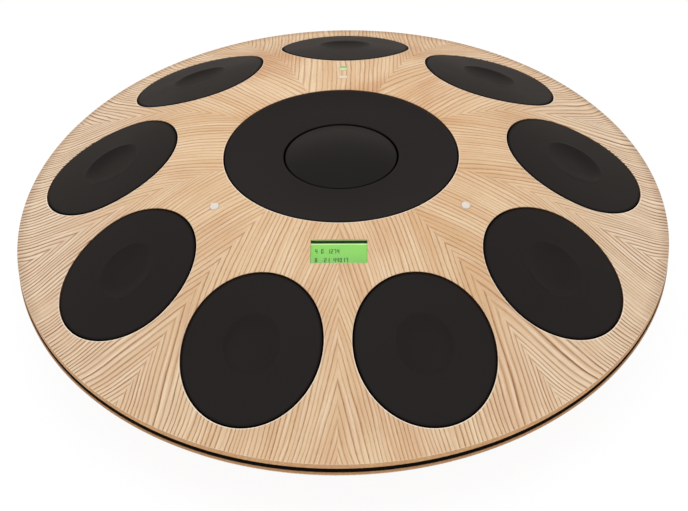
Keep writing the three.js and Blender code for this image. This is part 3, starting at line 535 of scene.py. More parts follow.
# The lit cap turns darker green over its far part: painted shade from the far wall of its hole
POWER_GREEN = lit(
    "power_green", 0.3, (184, 204, 154), (206, 222, 180), 2,
    [(power_far - 4.4, power_far - 1.8, 1.0, (118, 168, 100))], unlit=(60, 80, 60), share=0.25,
)


def arc(start, bend, slope):
    """Radius, drop and slope along a round stretch of a shell's outline."""
    radius, drop, first = start
    slopes = np.linspace(first, slope, ARC_SAMPLES)
    return np.column_stack([
        radius + bend * (np.sin(slopes) - math.sin(first)),
        drop + bend * (math.cos(first) - np.cos(slopes)),
        slopes,
    ])


def outline(crown, shoulder_bend, flank_slope):
    """A shell from its crown to the rim: shoulder, straight flank, hollow brim."""
    shoulder = arc(crown[-1], shoulder_bend, flank_slope)
    radius, drop, slope = shoulder[-1]
    foot = rim_radius - BRIM_WIDTH
    flank = np.array([[foot, drop + (foot - radius) * math.tan(slope), slope]])
    hollow = BRIM_WIDTH / (math.sin(BRIM_SLOPE) - math.sin(flank_slope))
    return np.vstack([crown, shoulder, flank, arc(flank[-1], hollow, BRIM_SLOPE)])


class Face:
    """One face of a shell as heights over radii; way is +1 for the top shell and -1 for the base."""

    def __init__(self, line, level, way, depth=0.0):
        radius, drop, slope = line.T
        self.way = way
        self.radii = radius - depth * np.sin(slope)
        self.heights = level - way * (drop + depth * np.cos(slope))
        over = rim_radius - self.radii[-1] + MM
        self.radii = np.append(self.radii, self.radii[-1] + over)
        self.heights = np.append(self.heights, self.heights[-1] - way * over * math.tan(BRIM_SLOPE))

    def height(self, radius):
        return np.interp(radius, self.radii, self.heights)

    def radius(self, height):
        order = np.argsort(self.heights)
        return np.interp(height, self.heights[order], self.radii[order])

    def slope(self, radius):
        step = 0.1 * MM
        return math.atan((self.height(radius - step) - self.height(radius + step)) / (2 * step))

    def lift(self, points):
        return np.column_stack([points, self.height(np.hypot(points[:, 0], points[:, 1]))])

    def meet(self, place, flat):
        """Where lines along a place's own Z, through flat points on it, meet this face."""
        spots = np.array([place @ Vector((x, y, 0)) for x, y in flat])
        normal = np.array(place.to_3x3() @ Vector((0, 0, 1)))
        for _ in range(MEET_STEPS):
            miss = self.height(np.hypot(spots[:, 0], spots[:, 1])) - spots[:, 2]
            spots = spots + MEET_STRIDE * miss[:, None] * normal
        return spots


crown_line = arc((0.0, 0.0, 0.0), CROWN_BEND, math.asin(CROWN_END / CROWN_BEND))
top_line = outline(crown_line, SHOULDER_BEND, FLANK_SLOPE)
base_line = outline(np.array([[0.0, 0.0, 0.0], [BASE_FLAT, 0.0, 0.0]]), BASE_BEND, BASE_SLOPE)
peak = seam_high + top_line[-1][1] + SHELL_WALL / math.cos(BRIM_SLOPE)
top_face, top_inside = (Face(top_line, peak, 1, depth) for depth in (0.0, SHELL_WALL))
base_face, base_inside = (Face(base_line, base_low, -1, depth) for depth in (0.0, SHELL_WALL))


def on_top(angle, radius):
    """A place on the top face: angle clockwise from the back, own Y outwards, own Z off the wood."""
    return (
        Matrix.Rotation(-angle, 4, "Z")
        @ Matrix.Translation((0, radius, top_face.height(radius)))
        @ Matrix.Rotation(-top_face.slope(radius), 4, "X")
    )


def circle(radius, height, count, ratio=1.0):
    """Points of a level circle, or of an oval drawn in along Y."""
    turns = np.linspace(0, 2 * math.pi, count, endpoint=False)
    return np.column_stack([radius * np.cos(turns), radius * ratio * np.sin(turns), np.full(count, height)])


def oval(semi_x, semi_y, count, x=0.0, y=0.0):
    """An oval outline that can be grown."""
    round_one = circle(1, 0, count)[:, :2]
    return lambda growth: round_one * (semi_x + growth, semi_y + growth) + (x, y)


def soft_rectangle(width, length, corner, x=0.0, y=0.0, sides=10):
    """A rectangle with round corners that can be grown."""
    middles = np.array([(1, 1), (-1, 1), (-1, -1), (1, -1)]) * (width / 2 - corner, length / 2 - corner)
    shares = np.arange(1, sides)[:, None] / sides

    def points(growth):
        bends = []
        for quarter, spot in enumerate(middles):
            turns = (quarter + np.arange(RECTANGLE_STEPS + 1) / RECTANGLE_STEPS) * math.pi / 2
            bends.append(spot + (corner + growth) * np.column_stack([np.cos(turns), np.sin(turns)]))
        loop = []
        for bend, after in zip(bends, bends[1:] + bends[:1]):
            loop.extend([bend, bend[-1] + (after[0] - bend[-1]) * shares])
        return np.vstack(loop) + (x, y)
    return points


def inside(loop, spots):
    """Which plan points lie inside a closed loop."""
    result = np.zeros(len(spots), bool)
    for (ax, ay), (bx, by) in zip(loop, np.roll(loop, -1, axis=0)):
        if ay == by:
            continue
        crossing = (ay > spots[:, 1]) != (by > spots[:, 1])
        reach = ax + (spots[:, 1] - ay) * (bx - ax) / (by - ay)
        result ^= crossing & (spots[:, 0] < reach)
    return result


class Draft:
    """Points and faces of one piece. On wood, a point's depth is 0 on the face, 0.1 where its rounded edge
    ends and 1 on the inner face, and the second value is its share of a pale edge, a painted highlight on the
    player's side. On pads, depth is the share of a painted shadow along the slit."""

    def __init__(self):
        self.points = []
        self.faces = []
        self.depths = []
        self.edge_highlights = []

    def ring(self, points, depth=0.0, pale=0.0):
        first = len(self.points)
        self.points.extend(tuple(map(float, point)) for point in points)
        self.depths.extend([depth] * len(points))
        self.edge_highlights.extend(np.broadcast_to(pale, len(points)))
        return list(range(first, len(self.points)))

    def bridge(self, *rings):
        for upper, lower in zip(rings, rings[1:]):
            for index in range(len(upper)):
                after = (index + 1) % len(upper)
                self.faces.append((upper[index], upper[after], lower[after], lower[index]))

    def cap(self, ring):
        centre, = self.ring([np.mean([self.points[index] for index in ring], axis=0)], self.depths[ring[0]])
        for index in range(len(ring)):
            self.faces.append((ring[index], ring[(index + 1) % len(ring)], centre))

    def fill(self, face, rim, holes, spacing, depth=0.0):
        """Triangles over a face, seen in plan, between its rim and its openings."""
        loops = [rim, *holes]
        known = [index for loop in loops for index in loop]
        plan = np.array([self.points[index][:2] for index in known])
        tree = KDTree(len(plan))
        for index, (x, y) in enumerate(plan):
            tree.insert((x, y, 0), index)
        tree.balance()
        hole_plans = [np.array([self.points[index][:2] for index in hole]) for hole in holes]
        reach = np.hypot(*plan[:len(rim)].T).min()
        spread = []
        for number, radius in enumerate(np.arange(spacing / 2, reach, spacing * GRID_ROW)):
            count = max(6, round(2 * math.pi * radius / spacing))
            turns = (np.arange(count) + number % 2 / 2) * 2 * math.pi / count
            spread.extend(zip(radius * np.cos(turns), radius * np.sin(turns)))
        clear = GRID_CLEARANCE * spacing
        spread = np.array([spot for spot in spread if tree.find((*spot, 0))[2] > clear])
        for hole in hole_plans:
            spread = spread[~inside(hole, spread)]
        everything = known + self.ring(face.lift(spread), depth)
        edges = []
        first = 0
        for loop in loops:
            edges.extend((first + i, first + (i + 1) % len(loop)) for i in range(len(loop)))
            first += len(loop)
        coordinates = [Vector(spot) / MM for spot in [*plan, *spread]]
        result = delaunay_2d_cdt(coordinates, edges, [], 0, 1e-6)
        owners = [everything[sources[0]] for sources in result[3]]
        triangles = np.array([[owners[corner] for corner in triangle] for triangle in result[2]])
        middles = np.array(self.points)[triangles][:, :, :2].mean(axis=1)
        keep = np.ones(len(triangles), bool)
        for hole in hole_plans:
            keep &= ~inside(hole, middles)
        self.faces.extend(tuple(map(int, triangle)) for triangle in triangles[keep])

    def piece(self, name, material):
        mesh = bpy.data.meshes.new(name)
        mesh.from_pydata(self.points, [], self.faces)
        for label, values in (("depth", self.depths), ("pale", self.edge_highlights)):
            attribute = mesh.attributes.new(label, "FLOAT", "POINT")
            attribute.data.foreach_set("value", values)
        return finished(mesh, name, material)


def placed(name, data):
    """An object put into the scene."""
    made = bpy.data.objects.new(name, data)
    bpy.context.scene.collection.objects.link(made)
    return made


def finished(mesh, name, material):
    """A mesh closed, turned outwards, smoothed between its sharp edges and put into the scene."""
    work = bmesh.new()
    work.from_mesh(mesh)
    bmesh.ops.remove_doubles(work, verts=work.verts, dist=WELD)
    bmesh.ops.recalc_face_normals(work, faces=work.faces)
    work.to_mesh(mesh)
    work.free()
    mesh.shade_smooth()
    mesh.set_sharp_from_angle(angle=SHARP_EDGE)
    mesh.materials.clear()
    mesh.materials.append(material)
    return placed(name, mesh)


def fit(piece, body, slot, *nodes):
    """Hangs a piece on its body, in place of the solids that it stands for."""
    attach(piece, body)
    if nodes:
        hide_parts(*nodes)


def rounded_edge(size):
    """How far a rounded edge stands in and sinks, step by step."""
    turns = np.linspace(0, math.pi / 2, EDGE_STEPS + 1)
    return [(size * (1 - math.sin(turn)), size * (1 - math.cos(turn))) for turn in turns]


def chamfered_edge(size):
    """The same for a chamfer with soft corners."""
    soft, near = CHAMFER_SOFT, CHAMFER_SOFT / 4
    return [
        (size + soft, 0.0), (size, near), (size - soft, soft),
        (soft, size - soft), (near, size), (0.0, size + soft),
    ]


def round_corner(radius, height, size, first, last):
    """Profile points round a corner, about a middle, between two angles in degrees."""
    turns = np.radians(np.linspace(first, last, CORNER_STEPS + 1))
    return [(radius + size * math.cos(turn), height + size * math.sin(turn)) for turn in turns]


def opening(draft, place, shape, faces, soft=EDGE_ROUND, highlight_strength=1.0, lip=0.0):
    """A hole through a shell, its rounded edge painted pale on the player's side as a highlight; its first
    and last rings.
    """
    outer, inner = faces
    inward = -outer.way * np.array(place.to_3x3() @ Vector((0, 0, 1)))
    first = outer.meet(place, shape(soft + EDGE_COLLAR))
    near = (first[:, 1].mean() - first[:, 1]) / np.ptp(first[:, 1])
    pale = highlight_strength * np.clip(0.5 + 1.6 * near, 0, 1)
    rings = [draft.ring(first, 0.0, pale)]
    for index, (growth, sink) in enumerate(rounded_edge(soft)):
        spots = outer.meet(place, shape(growth)) + sink * inward
        rings.append(draft.ring(spots, 0.04 + 0.06 * index / EDGE_STEPS, pale))
    if lip:
        rings.append(draft.ring(outer.meet(place, shape(0)) + lip * inward, 0.08, pale))
    rings.append(draft.ring(inner.meet(place, shape(0)), 1.0, pale))
    draft.bridge(*rings)
    return rings[0], rings[-1]


def rim_edge(draft, faces, edge):
    """The upright edge of a shell at the rim; its first and last rings."""
    outer, inner = faces
    rings = []
    for index, (inset, sink) in enumerate(edge):
        radius = rim_radius - inset
        spots = circle(radius, outer.height(radius) - outer.way * sink, RIM_POINTS)
        rings.append(draft.ring(spots, 0.1 * index / (len(edge) - 1)))
    for inset, sink in reversed(rounded_edge(SEAM_ROUND)):
        radius = rim_radius - inset
        rings.append(draft.ring(circle(radius, inner.height(radius) + outer.way * sink, RIM_POINTS), 1.0))
    draft.bridge(*rings)
    return rings[0], rings[-1]


# Places on the playing side
pad_outer = rim_radius - BRIM_WIDTH
pad_inner = DING_WIDTH / 2 + CONTROL_BAND
pad_ring = (pad_inner + pad_outer) / 2
pad_level = (top_face.height(pad_inner) + top_face.height(pad_outer)) / 2
pad_fall = top_face.height(pad_inner) - top_face.height(pad_outer)
pad_tilt = math.atan(pad_fall / (pad_outer - pad_inner))
pad_across = PAD_WIDTH / 2
pad_along = (pad_outer - pad_inner) / 2 / math.cos(pad_tilt)
pad_place = Matrix.Translation((0, pad_ring, pad_level)) @ Matrix.Rotation(-pad_tilt, 4, "X")
ding_x = DING_LENGTH / 2
ding_y = DING_WIDTH / 2
ding_ratio = DING_WIDTH / DING_LENGTH


def control_radius(angle):
    """Halfway between the centre pad and the ring of tone pads."""
    edge = 1 / math.hypot(math.sin(angle) / ding_x, math.cos(angle) / ding_y)
    return (edge + pad_inner) / 2


SIDE_ANGLE = 3 * SECTOR
display_radius = control_radius(math.pi) + DISPLAY_SHIFT
display_place = on_top(math.pi, display_radius)
rear_place = on_top(0, control_radius(0) + REAR_SHIFT)
button_places = {
    "right": on_top(SIDE_ANGLE, control_radius(SIDE_ANGLE)),
    "left": on_top(-SIDE_ANGLE, control_radius(SIDE_ANGLE)),
}
rear_up = REAR_SPACING / 2


def lens_shape(gap):
    return soft_rectangle(LENS_WIDTH + gap, LENS_LENGTH + gap, LENS_CORNER, 0, -rear_up, sides=4)


def top_wood():
    """Upper shell with its openings for the pads, the display and the buttons."""
    draft = Draft()
    faces = (top_face, top_inside)
    hole = BUTTON_RADIUS + BUTTON_GAP
    pad_shape = oval(pad_across, pad_along, PAD_POINTS)
    openings = [
        (Matrix.Rotation(-index * SECTOR, 4, "Z") @ pad_place, pad_shape) for index in range(PAD_COUNT)
    ]
    openings.append((Matrix.Translation((0, 0, peak)), oval(ding_x, ding_y, DING_POINTS)))
    windows = [(place, oval(hole, hole, HOLE_POINTS)) for place in button_places.values()]
    windows.append((rear_place, oval(hole, hole, HOLE_POINTS, 0, rear_up)))
    windows.append((rear_place, lens_shape(LENS_GAP)))
    display_shape = soft_rectangle(DISPLAY_WIDTH, DISPLAY_LENGTH, DISPLAY_CORNER)
    first, last = rim_edge(draft, faces, rounded_edge(EDGE_ROUND))
    rings = [opening(draft, place, shape, faces) for place, shape in openings]
    rings.extend(opening(draft, place, shape, faces, CONTROL_ROUND, 0.0) for place, shape in windows)
    rings.append(opening(draft, display_place, display_shape, faces, CONTROL_ROUND, 0.0, DISPLAY_LIP))
    draft.fill(top_face, first, [ring[0] for ring in rings], FACE_SPACING)
    draft.fill(top_inside, last, [ring[1] for ring in rings], INSIDE_SPACING, 1.0)
    fit(draft.piece("top_wood", WOOD), "case", "ash_wood", "top_shell")


def bay_rings(draft):
    """The notch for the socket bay: straight back and sides, and a far edge under a level roof."""
    half = BAY_WIDTH / 2 + BAY_WALL + SEAT_GAP
    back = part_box("socket_bay")[0].y - SEAT_GAP
    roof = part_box("socket_bay")[1].z + SEAT_GAP
    rings = []
    many, few = BAY_POINTS, BAY_POINTS // 2
    for face, depth in ((base_face, 0.0), (base_inside, 1.0)):
        far = face.radius(roof)
        side = math.sqrt(far ** 2 - half ** 2)
        turn = math.asin(half / far)
        turns = np.linspace(turn, -turn, many, endpoint=False)
        stretches = (
            (np.linspace(-half, half, many, endpoint=False), np.full(many, back)),
            (np.full(few, half), np.linspace(back, side, few, endpoint=False)),
            (far * np.sin(turns), far * np.cos(turns)),
            (np.full(few, -half), np.linspace(side, back, few, endpoint=False)),
        )
        rings.append(draft.ring(face.lift(np.hstack(stretches).T), depth))
    draft.bridge(*rings)
    return rings


def screw_rings(draft, index):
    """A counterbored screw hole, from the outer face to the inner one."""
    node = f"case_screw_{index}"
    x, y, _ = middle(node)
    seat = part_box(node)[0].z + SCREW_HEAD_HEIGHT + SEAT_GAP
    place = Matrix.Translation((x, y, seat))
    head_radius = SCREW_HEAD_RADIUS + SCREW_HEAD_GAP
    shank_radius = SCREW_SHANK_RADIUS + SEAT_GAP
    head = oval(head_radius, head_radius, SCREW_HOLE_POINTS)
    shank = oval(shank_radius, shank_radius, SCREW_HOLE_POINTS)
    flat = [circle(radius, seat, SCREW_HOLE_POINTS) + (x, y, 0) for radius in (head_radius, shank_radius)]
    rings = [
        draft.ring(base_face.meet(place, head(SCREW_BEVEL)), 0.0),
        draft.ring(base_face.meet(place, head(0)) + (0, 0, SCREW_BEVEL), 0.1),
        *[draft.ring(spots, 0.6) for spots in flat],
        draft.ring(base_inside.meet(place, shank(0)), 1.0),
    ]
    draft.bridge(*rings)
    return rings[0], rings[-1]


def base_wood():
    """Lower shell with the loudspeaker's mouth, the socket bay and the screw holes."""
    draft = Draft()
    faces = (base_face, base_inside)
    mouth = GRILLE_RADIUS + GRILLE_GAP
    first, last = rim_edge(draft, faces, chamfered_edge(BASE_CHAMFER))
    rings = [opening(draft, Matrix(), oval(mouth, mouth, GRILLE_POINTS), faces), bay_rings(draft)]
    rings.extend(screw_rings(draft, index + 1) for index in range(PAD_COUNT))
    draft.fill(base_face, first, [ring[0] for ring in rings], FACE_SPACING)
    draft.fill(base_inside, last, [ring[-1] for ring in rings], INSIDE_SPACING, 1.0)
    fit(draft.piece("base_wood", WOOD), "case", "ash_wood", "bottom_shell")


def turned(name, material, profile, segments, place=None, ratio=1.0, closed=False):
    """A piece turned from radius and height pairs; an oval one is drawn in along Y."""
    draft = Draft()
    rings = [draft.ring(circle(radius, height, segments, ratio)) for radius, height in profile]
    draft.bridge(*rings)
    if closed:
        draft.bridge(rings[-1], rings[0])
    else:
        draft.cap(rings[0])
        draft.cap(rings[-1])
    piece = draft.piece(name, material)
    if place is not None:
        piece.data.transform(place)
    return piece


def seam_hoop():
    """Black hoop set back in the slit between the shells."""
    radii = np.linspace(pad_outer + FLANGE_WIDTH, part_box("rim_hoop")[1].x, 6)
    high = [(radius, float(top_inside.height(radius)) - SEAT_GAP) for radius in radii]
    low = [(radius, float(base_inside.height(radius)) + SEAT_GAP) for radius in radii[::-1]]
    hoop = turned("seam_hoop", SEAM_BLACK, high + low, RIM_POINTS, closed=True)
    fit(hoop, "case", "black_plastic", "rim_hoop")


def geometry_tree(name, sizes):
    """An empty Geometry Nodes tree with named inputs; its graph and its input sockets."""
    tree = bpy.data.node_groups.new(name, "GeometryNodeTree")
    tree.interface.new_socket("Geometry", in_out="INPUT", socket_type="NodeSocketGeometry")
    for size in sizes:
        tree.interface.new_socket(size, in_out="INPUT", socket_type="NodeSocketFloat")
    tree.interface.new_socket("Finish", in_out="INPUT", socket_type="NodeSocketMaterial")
    tree.interface.new_socket("Geometry", in_out="OUTPUT", socket_type="NodeSocketGeometry")
    graph = Graph(tree)
    entry = graph.node("NodeGroupInput", output=None)
    return graph, {socket.name: Socket(graph, socket) for socket in entry.outputs if socket.name}


def close_tree(graph, geometry, finish):
    """Realizes what a tree has made and gives it its finish."""
    real = graph.node("GeometryNodeRealizeInstances", {0: geometry})
    welded = graph.node("GeometryNodeMergeByDistance", {"Geometry": real, "Distance": WELD})
    painted = graph.node("GeometryNodeSetMaterial", {"Geometry": welded, "Material": finish})
    graph.node("NodeGroupOutput", {0: painted}, output=None)


def grown(tree, name, material, sizes, seed=None):
    """A plain mesh from a tree, its sizes set by name."""
    seedling = placed(f"{name}_seed", seed or bpy.data.meshes.new(f"{name}_seed"))
    modifier = seedling.modifiers.new("grow", "NODES")
    modifier.node_group = tree
    for item in tree.interface.items_tree:
        if item.in_out == "INPUT" and item.name in sizes:
            modifier[item.identifier] = float(sizes[item.name])
        elif item.in_out == "INPUT" and item.name == "Finish":
            modifier[item.identifier] = material
    graph = bpy.context.evaluated_depsgraph_get()
    result = bpy.data.meshes.new_from_object(seedling.evaluated_get(graph), depsgraph=graph)
    seedling.modifiers.remove(modifier)
    bpy.data.objects.remove(seedling)
    return finished(result, name, material)


def polar_sheet(graph, segments, rings):
    """A grid to be wrapped round an axis: its mesh, the turn and the share from first ring to last."""
    sizes = {"Size X": 1.0, "Size Y": 1.0, "Vertices X": segments + 1, "Vertices Y": rings + 1}
    grid = graph.node("GeometryNodeMeshGrid", sizes)
    x, y, _ = graph.split(graph.node("GeometryNodeInputPosition"))
    return grid, (x + 0.5) * (2 * math.pi), y + 0.5


def moved(graph, geometry, x, y, z):
    position = graph.vector(x, y, z)
    return graph.node("GeometryNodeSetPosition", {"Geometry": geometry, "Position": position})


def tone_pad_tree():
    """A tone pad that follows the dome: dimpled top, rounded edge, wall, flange and flat underside."""
    graph, size = geometry_tree("tone_pad", [
        "Across", "Along", "Inset", "Round", "Slit Shade", "Flange", "Flange Level",
        "Dimple Radius", "Dimple Depth", "Dimple Bead", "Dimple Shift",
        "Underside", "Ring", "Level", "Tilt", "Turn",
        "Shoulder Bend", "Shoulder Radius", "Shoulder Level", "Flank Radius", "Flank Level", "Flank Slope",
    ])
    lean_sin, lean_cos = size["Tilt"].sin(), size["Tilt"].cos()
    inner_x = size["Across"] - size["Round"]
    inner_y = size["Along"] - size["Round"]

    def dome(radius):
        off = radius - size["Shoulder Radius"]
        bend = size["Shoulder Bend"]
        shoulder = size["Shoulder Level"] + (bend * bend - off * off).most(0).root()
        flank = size["Flank Level"] - (radius - size["Flank Radius"]) * size["Flank Slope"].tan()
        near = radius < size["Flank Radius"]
        return near * shoulder + (1 - near) * flank

    def spot(y, rise):
        """Radius and height of a point that far along the pad's own plane and off it."""
        out = size["Ring"] + y * lean_cos + rise * lean_sin
        return out, size["Level"] - y * lean_sin + rise * lean_cos

    def rise_over(x, y):
        """Height of the dome over the pad's own plane, by two steps towards it."""
        rise = 0.0
        for _ in range(2):
            out, level = spot(y, rise)
            rise = (dome((x * x + out * out).root()) - level) * lean_cos + rise
        return rise

    def laid(geometry, x, y, rise):
        return moved(graph, geometry, x, *spot(y, rise))

    def slit_shaded(geometry, share):
        sockets = {"Geometry": geometry, "Name": "depth", "Value": share}
        return graph.node("GeometryNodeStoreNamedAttribute", sockets, data_type="FLOAT", domain="POINT")

    grid, turn, share = polar_sheet(graph, PAD_POINTS, PAD_TOP_RINGS)
    x = inner_x * share * turn.cos()
    rim = size["Dimple Radius"] / inner_x
    y = inner_y * share * turn.sin() - size["Dimple Shift"] * (1 - share * share) / (1 - rim * rim)
    off = (share / rim).least(1)
    bowl = size["Dimple Depth"] * (1 - off ** DIMPLE_CURVE)
    bead = (1 - ((share / rim - 1) / BEAD_SPREAD) ** 2).most(0)
    rise = rise_over(x, y) - size["Inset"] - bowl + size["Dimple Bead"] * bead * bead
    # Painted shade: the top darkens faintly towards the slit
    dark = share.ease(1 - size["Slit Shade"] / inner_x, 1) * SLIT_SHADE_FAINT
    top = laid(slit_shaded(grid, dark), x, y, rise)

    grid, turn, share = polar_sheet(graph, PAD_POINTS, PAD_WALL_RINGS)
    bend = (share / PAD_EDGE_PART).least(1) * (math.pi / 2)
    fall = ((share - PAD_EDGE_PART) / (1 - PAD_EDGE_PART)).most(0)
    x = (inner_x + size["Round"] * bend.sin()) * turn.cos()
    y = (inner_y + size["Round"] * bend.sin()) * turn.sin()
    lip = rise_over(x, y) - size["Inset"] - size["Round"] * (1 - bend.cos())
    # Painted shade: the rounded edge and wall go dark down into the slit
    dark = SLIT_SHADE_FAINT + (1 - SLIT_SHADE_FAINT) * bend.ease(0.2, 1.0)
    wall = laid(slit_shaded(grid, dark), x, y, lip * (1 - fall) + size["Flange Level"] * fall)

    grid, turn, share = polar_sheet(graph, PAD_POINTS, 3)
    step = share * 3 + 0.5
    wide = size["Across"] + size["Flange"]
    long = size["Along"] + size["Flange"]
    upper, lower = size["Flange Level"], size["Underside"]
    x = graph.pick(step, [size["Across"], wide, wide, 0.0]) * turn.cos()
    y = graph.pick(step, [size["Along"], long, long, 0.0]) * turn.sin()
    under = laid(grid, x, y, graph.pick(step, [upper, upper, lower, lower]))

    whole = graph.node("GeometryNodeJoinGeometry", {0: [top, wall, under]})
    sockets = {"Geometry": whole, "Rotation": graph.vector(0.0, 0.0, size["Turn"])}
    close_tree(graph, graph.node("GeometryNodeTransform", sockets), size["Finish"])
    return graph.tree


def tone_pads():
    """Nine pads of one tree, each turned to its own place."""
    tree = tone_pad_tree()
    shoulder = crown_line[-1]
    flank = top_line[np.argmax(top_line[:, 2] >= FLANK_SLOPE - 1e-9)]
    rim = pad_along + FLANGE_WIDTH
    ends = top_inside.meet(pad_place, np.array([(0, rim), (0, -rim)]))
    normal = pad_place.to_3x3() @ Vector((0, 0, 1))
    low = min((Vector(spot) - pad_place.translation).dot(normal) for spot in ends)
    sizes = {
        "Across": pad_across - PAD_GAP,
        "Along": pad_along - PAD_GAP,
        "Inset": PAD_INSET,
        "Round": PAD_ROUND,
        "Slit Shade": SLIT_SHADE_WIDTH,
        "Dimple Radius": DIMPLE_RADIUS,
        "Dimple Depth": DIMPLE_DEPTH,
        "Dimple Bead": DIMPLE_BEAD,
        "Dimple Shift": DIMPLE_SHIFT,
        "Flange": FLANGE_WIDTH + PAD_GAP,
        "Flange Level": low - FLANGE_GAP,
        "Underside": -PAD_UNDERSIDE,
        "Ring": pad_ring,
        "Level": pad_level,
        "Tilt": pad_tilt,
        "Shoulder Bend": SHOULDER_BEND,
        "Shoulder Radius": shoulder[0] - SHOULDER_BEND * math.sin(shoulder[2]),
        "Shoulder Level": peak - shoulder[1] - SHOULDER_BEND * math.cos(shoulder[2]),
        "Flank Radius": flank[0],
        "Flank Level": peak - flank[1],
        "Flank Slope": FLANK_SLOPE,
    }
    for index in range(PAD_COUNT):
        node = f"tone_pad_{index + 1}"
        pad = grown(tree, f"{node}_skin", PAD_RUBBER, {**sizes, "Turn": -index * SECTOR})
        fit(pad, node, "pad_silicone", node)


def centre_pad():
    """Oval pad, flat round the dome and bent down to the wood at its edge."""
    draft = Draft()
    low, flat = (corner.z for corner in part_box("ding_pad"))
    dome = DOME_LENGTH / 2 + DOME_GAP
    edge = ding_x - PAD_GAP
    inner, outer = dome + PAD_ROUND, edge - PAD_ROUND
    plan = circle(1, 0, DING_POINTS, ding_ratio)[:, :2]
    edge_high = top_face.height(edge * np.hypot(*plan.T)) - PAD_INSET
    brim = ding_x + FLANGE_WIDTH
    flange = float(top_inside.height(brim)) - FLANGE_GAP

    profile = [(dome, low), *round_corner(inner, flat - PAD_ROUND, PAD_ROUND, 180, 90)]
    for share in (0.03, *np.linspace(0.08, 0.92, 12), 0.97, 1.0):
        bend = max(0.0, (share - DING_FLAT_SHARE) / (1 - DING_FLAT_SHARE)) ** 2
        profile.append((inner + (outer - inner) * share, flat + (edge_high - flat) * bend))
    for reach, height in round_corner(outer, -PAD_ROUND, PAD_ROUND, 90, 0)[1:]:
        profile.append((reach, edge_high + height))
    profile.extend([(edge, flange), (brim, flange), (brim, low)])
    rings = []
    for reach, height in profile:
        # Painted shade along the slits round the dome and at the outer edge
        lip = min(1, max(0, 1 - min(reach - dome, edge - reach) / SLIT_SHADE_WIDTH))
        spots = np.column_stack([reach * plan, np.broadcast_to(height, len(plan))])
        rings.append(draft.ring(spots, lip))
    draft.bridge(*rings, rings[0])
    fit(draft.piece("centre_pad", PAD_RUBBER), "ding_pad", "pad_silicone", "ding_pad")


def centre_dome():
    """Low oval dome in the middle of the centre pad."""
    low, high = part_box("ding_dome")
    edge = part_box("ding_pad")[1].z - DOME_SINK
    reach = DOME_LENGTH / 2
    profile = [(POLE, high.z)]
    for step in range(1, 25):
        share = step / 24 * (1 - PAD_ROUND / reach)
        profile.append((reach * share, edge + (high.z - edge) * (1 - share ** DOME_CURVE)))
    profile.extend(round_corner(reach - PAD_ROUND, profile[-1][1] - PAD_ROUND, PAD_ROUND, 70, 0))
    profile.extend([(reach, low.z), (POLE, low.z)])
    dome = turned("centre_dome", DOME_RUBBER, profile, DOME_POINTS, ratio=ding_ratio)
    fit(dome, "ding_dome", "pad_silicone", "ding_dome")


def plate(name, material, place, shape, low, high, bevel):
    """A flat plate of any outline with bevelled rims."""
    draft = Draft()
    rings = []
    for growth, height in ((-bevel, low), (0, low + bevel), (0, high - bevel), (-bevel, high)):
        rings.append(draft.ring([place @ Vector((x, y, height)) for x, y in shape(growth)]))
    draft.bridge(*rings)
    draft.cap(rings[0])
    draft.cap(rings[-1])
    return draft.piece(name, material)


# Bars of a seven-bar digit, by their letters: a top, b and c right, d bottom, e and f left, g middle
DIGIT_BARS = {"0": "abcdef", "1": "bc", "2": "abdeg", "4": "bcfg", "7": "abc", "8": "abcdefg"}
DIGIT_COLUMNS, DIGIT_ROWS = 3, 7
DIGIT_STEP = 4.1
DOT_PITCH = 0.52 * MM
DOT_SIZE = 0.5 * MM
DOT_THICKNESS = 0.04 * MM
# Left end and foot of each group of digits
DISPLAY_TEXT = (
    ("4", -16.3 * MM, 0.1 * MM), ("0", -12.1 * MM, 0.1 * MM), ("1274", -7.5 * MM, 0.1 * MM),
    ("8", -16.3 * MM, -7.4 * MM), ("21", -9.9 * MM, -7.4 * MM), ("44017", -3.5 * MM, -7.4 * MM),
)


def digit_dots(digit):
    """Column and row of each dot of a digit."""
    right, top, half = DIGIT_COLUMNS - 1, DIGIT_ROWS - 1, DIGIT_ROWS // 2
    columns, low, high = range(DIGIT_COLUMNS), range(half + 1), range(half, DIGIT_ROWS)
    bars = {
        **{bar: [(column, row) for column in columns] for bar, row in (("a", top), ("g", half), ("d", 0))},
        **{bar: [(column, row) for row in rows] for bar, column, rows in (
            ("b", right, high), ("c", right, low), ("e", 0, low), ("f", 0, high),
        )},
    }
    return sorted({dot for bar in DIGIT_BARS[digit] for dot in bars[bar]})


def dot_tree():
    """A small thin tile on every point."""
    graph, size = geometry_tree("display_dots", ["Dot Size", "Dot Thickness", "Lean"])
    sides = graph.vector(size["Dot Size"], size["Dot Size"], size["Dot Thickness"])
    tile = graph.node("GeometryNodeMeshCube", {"Size": sides})
    lean = graph.vector(size["Lean"], 0.0, 0.0)
    points = graph.node("GeometryNodeMeshToPoints", {"Mesh": size["Geometry"]})
    sockets = {"Points": points, "Instance": tile, "Rotation": lean}
    close_tree(graph, graph.node("GeometryNodeInstanceOnPoints", sockets), size["Finish"])
    return graph.tree


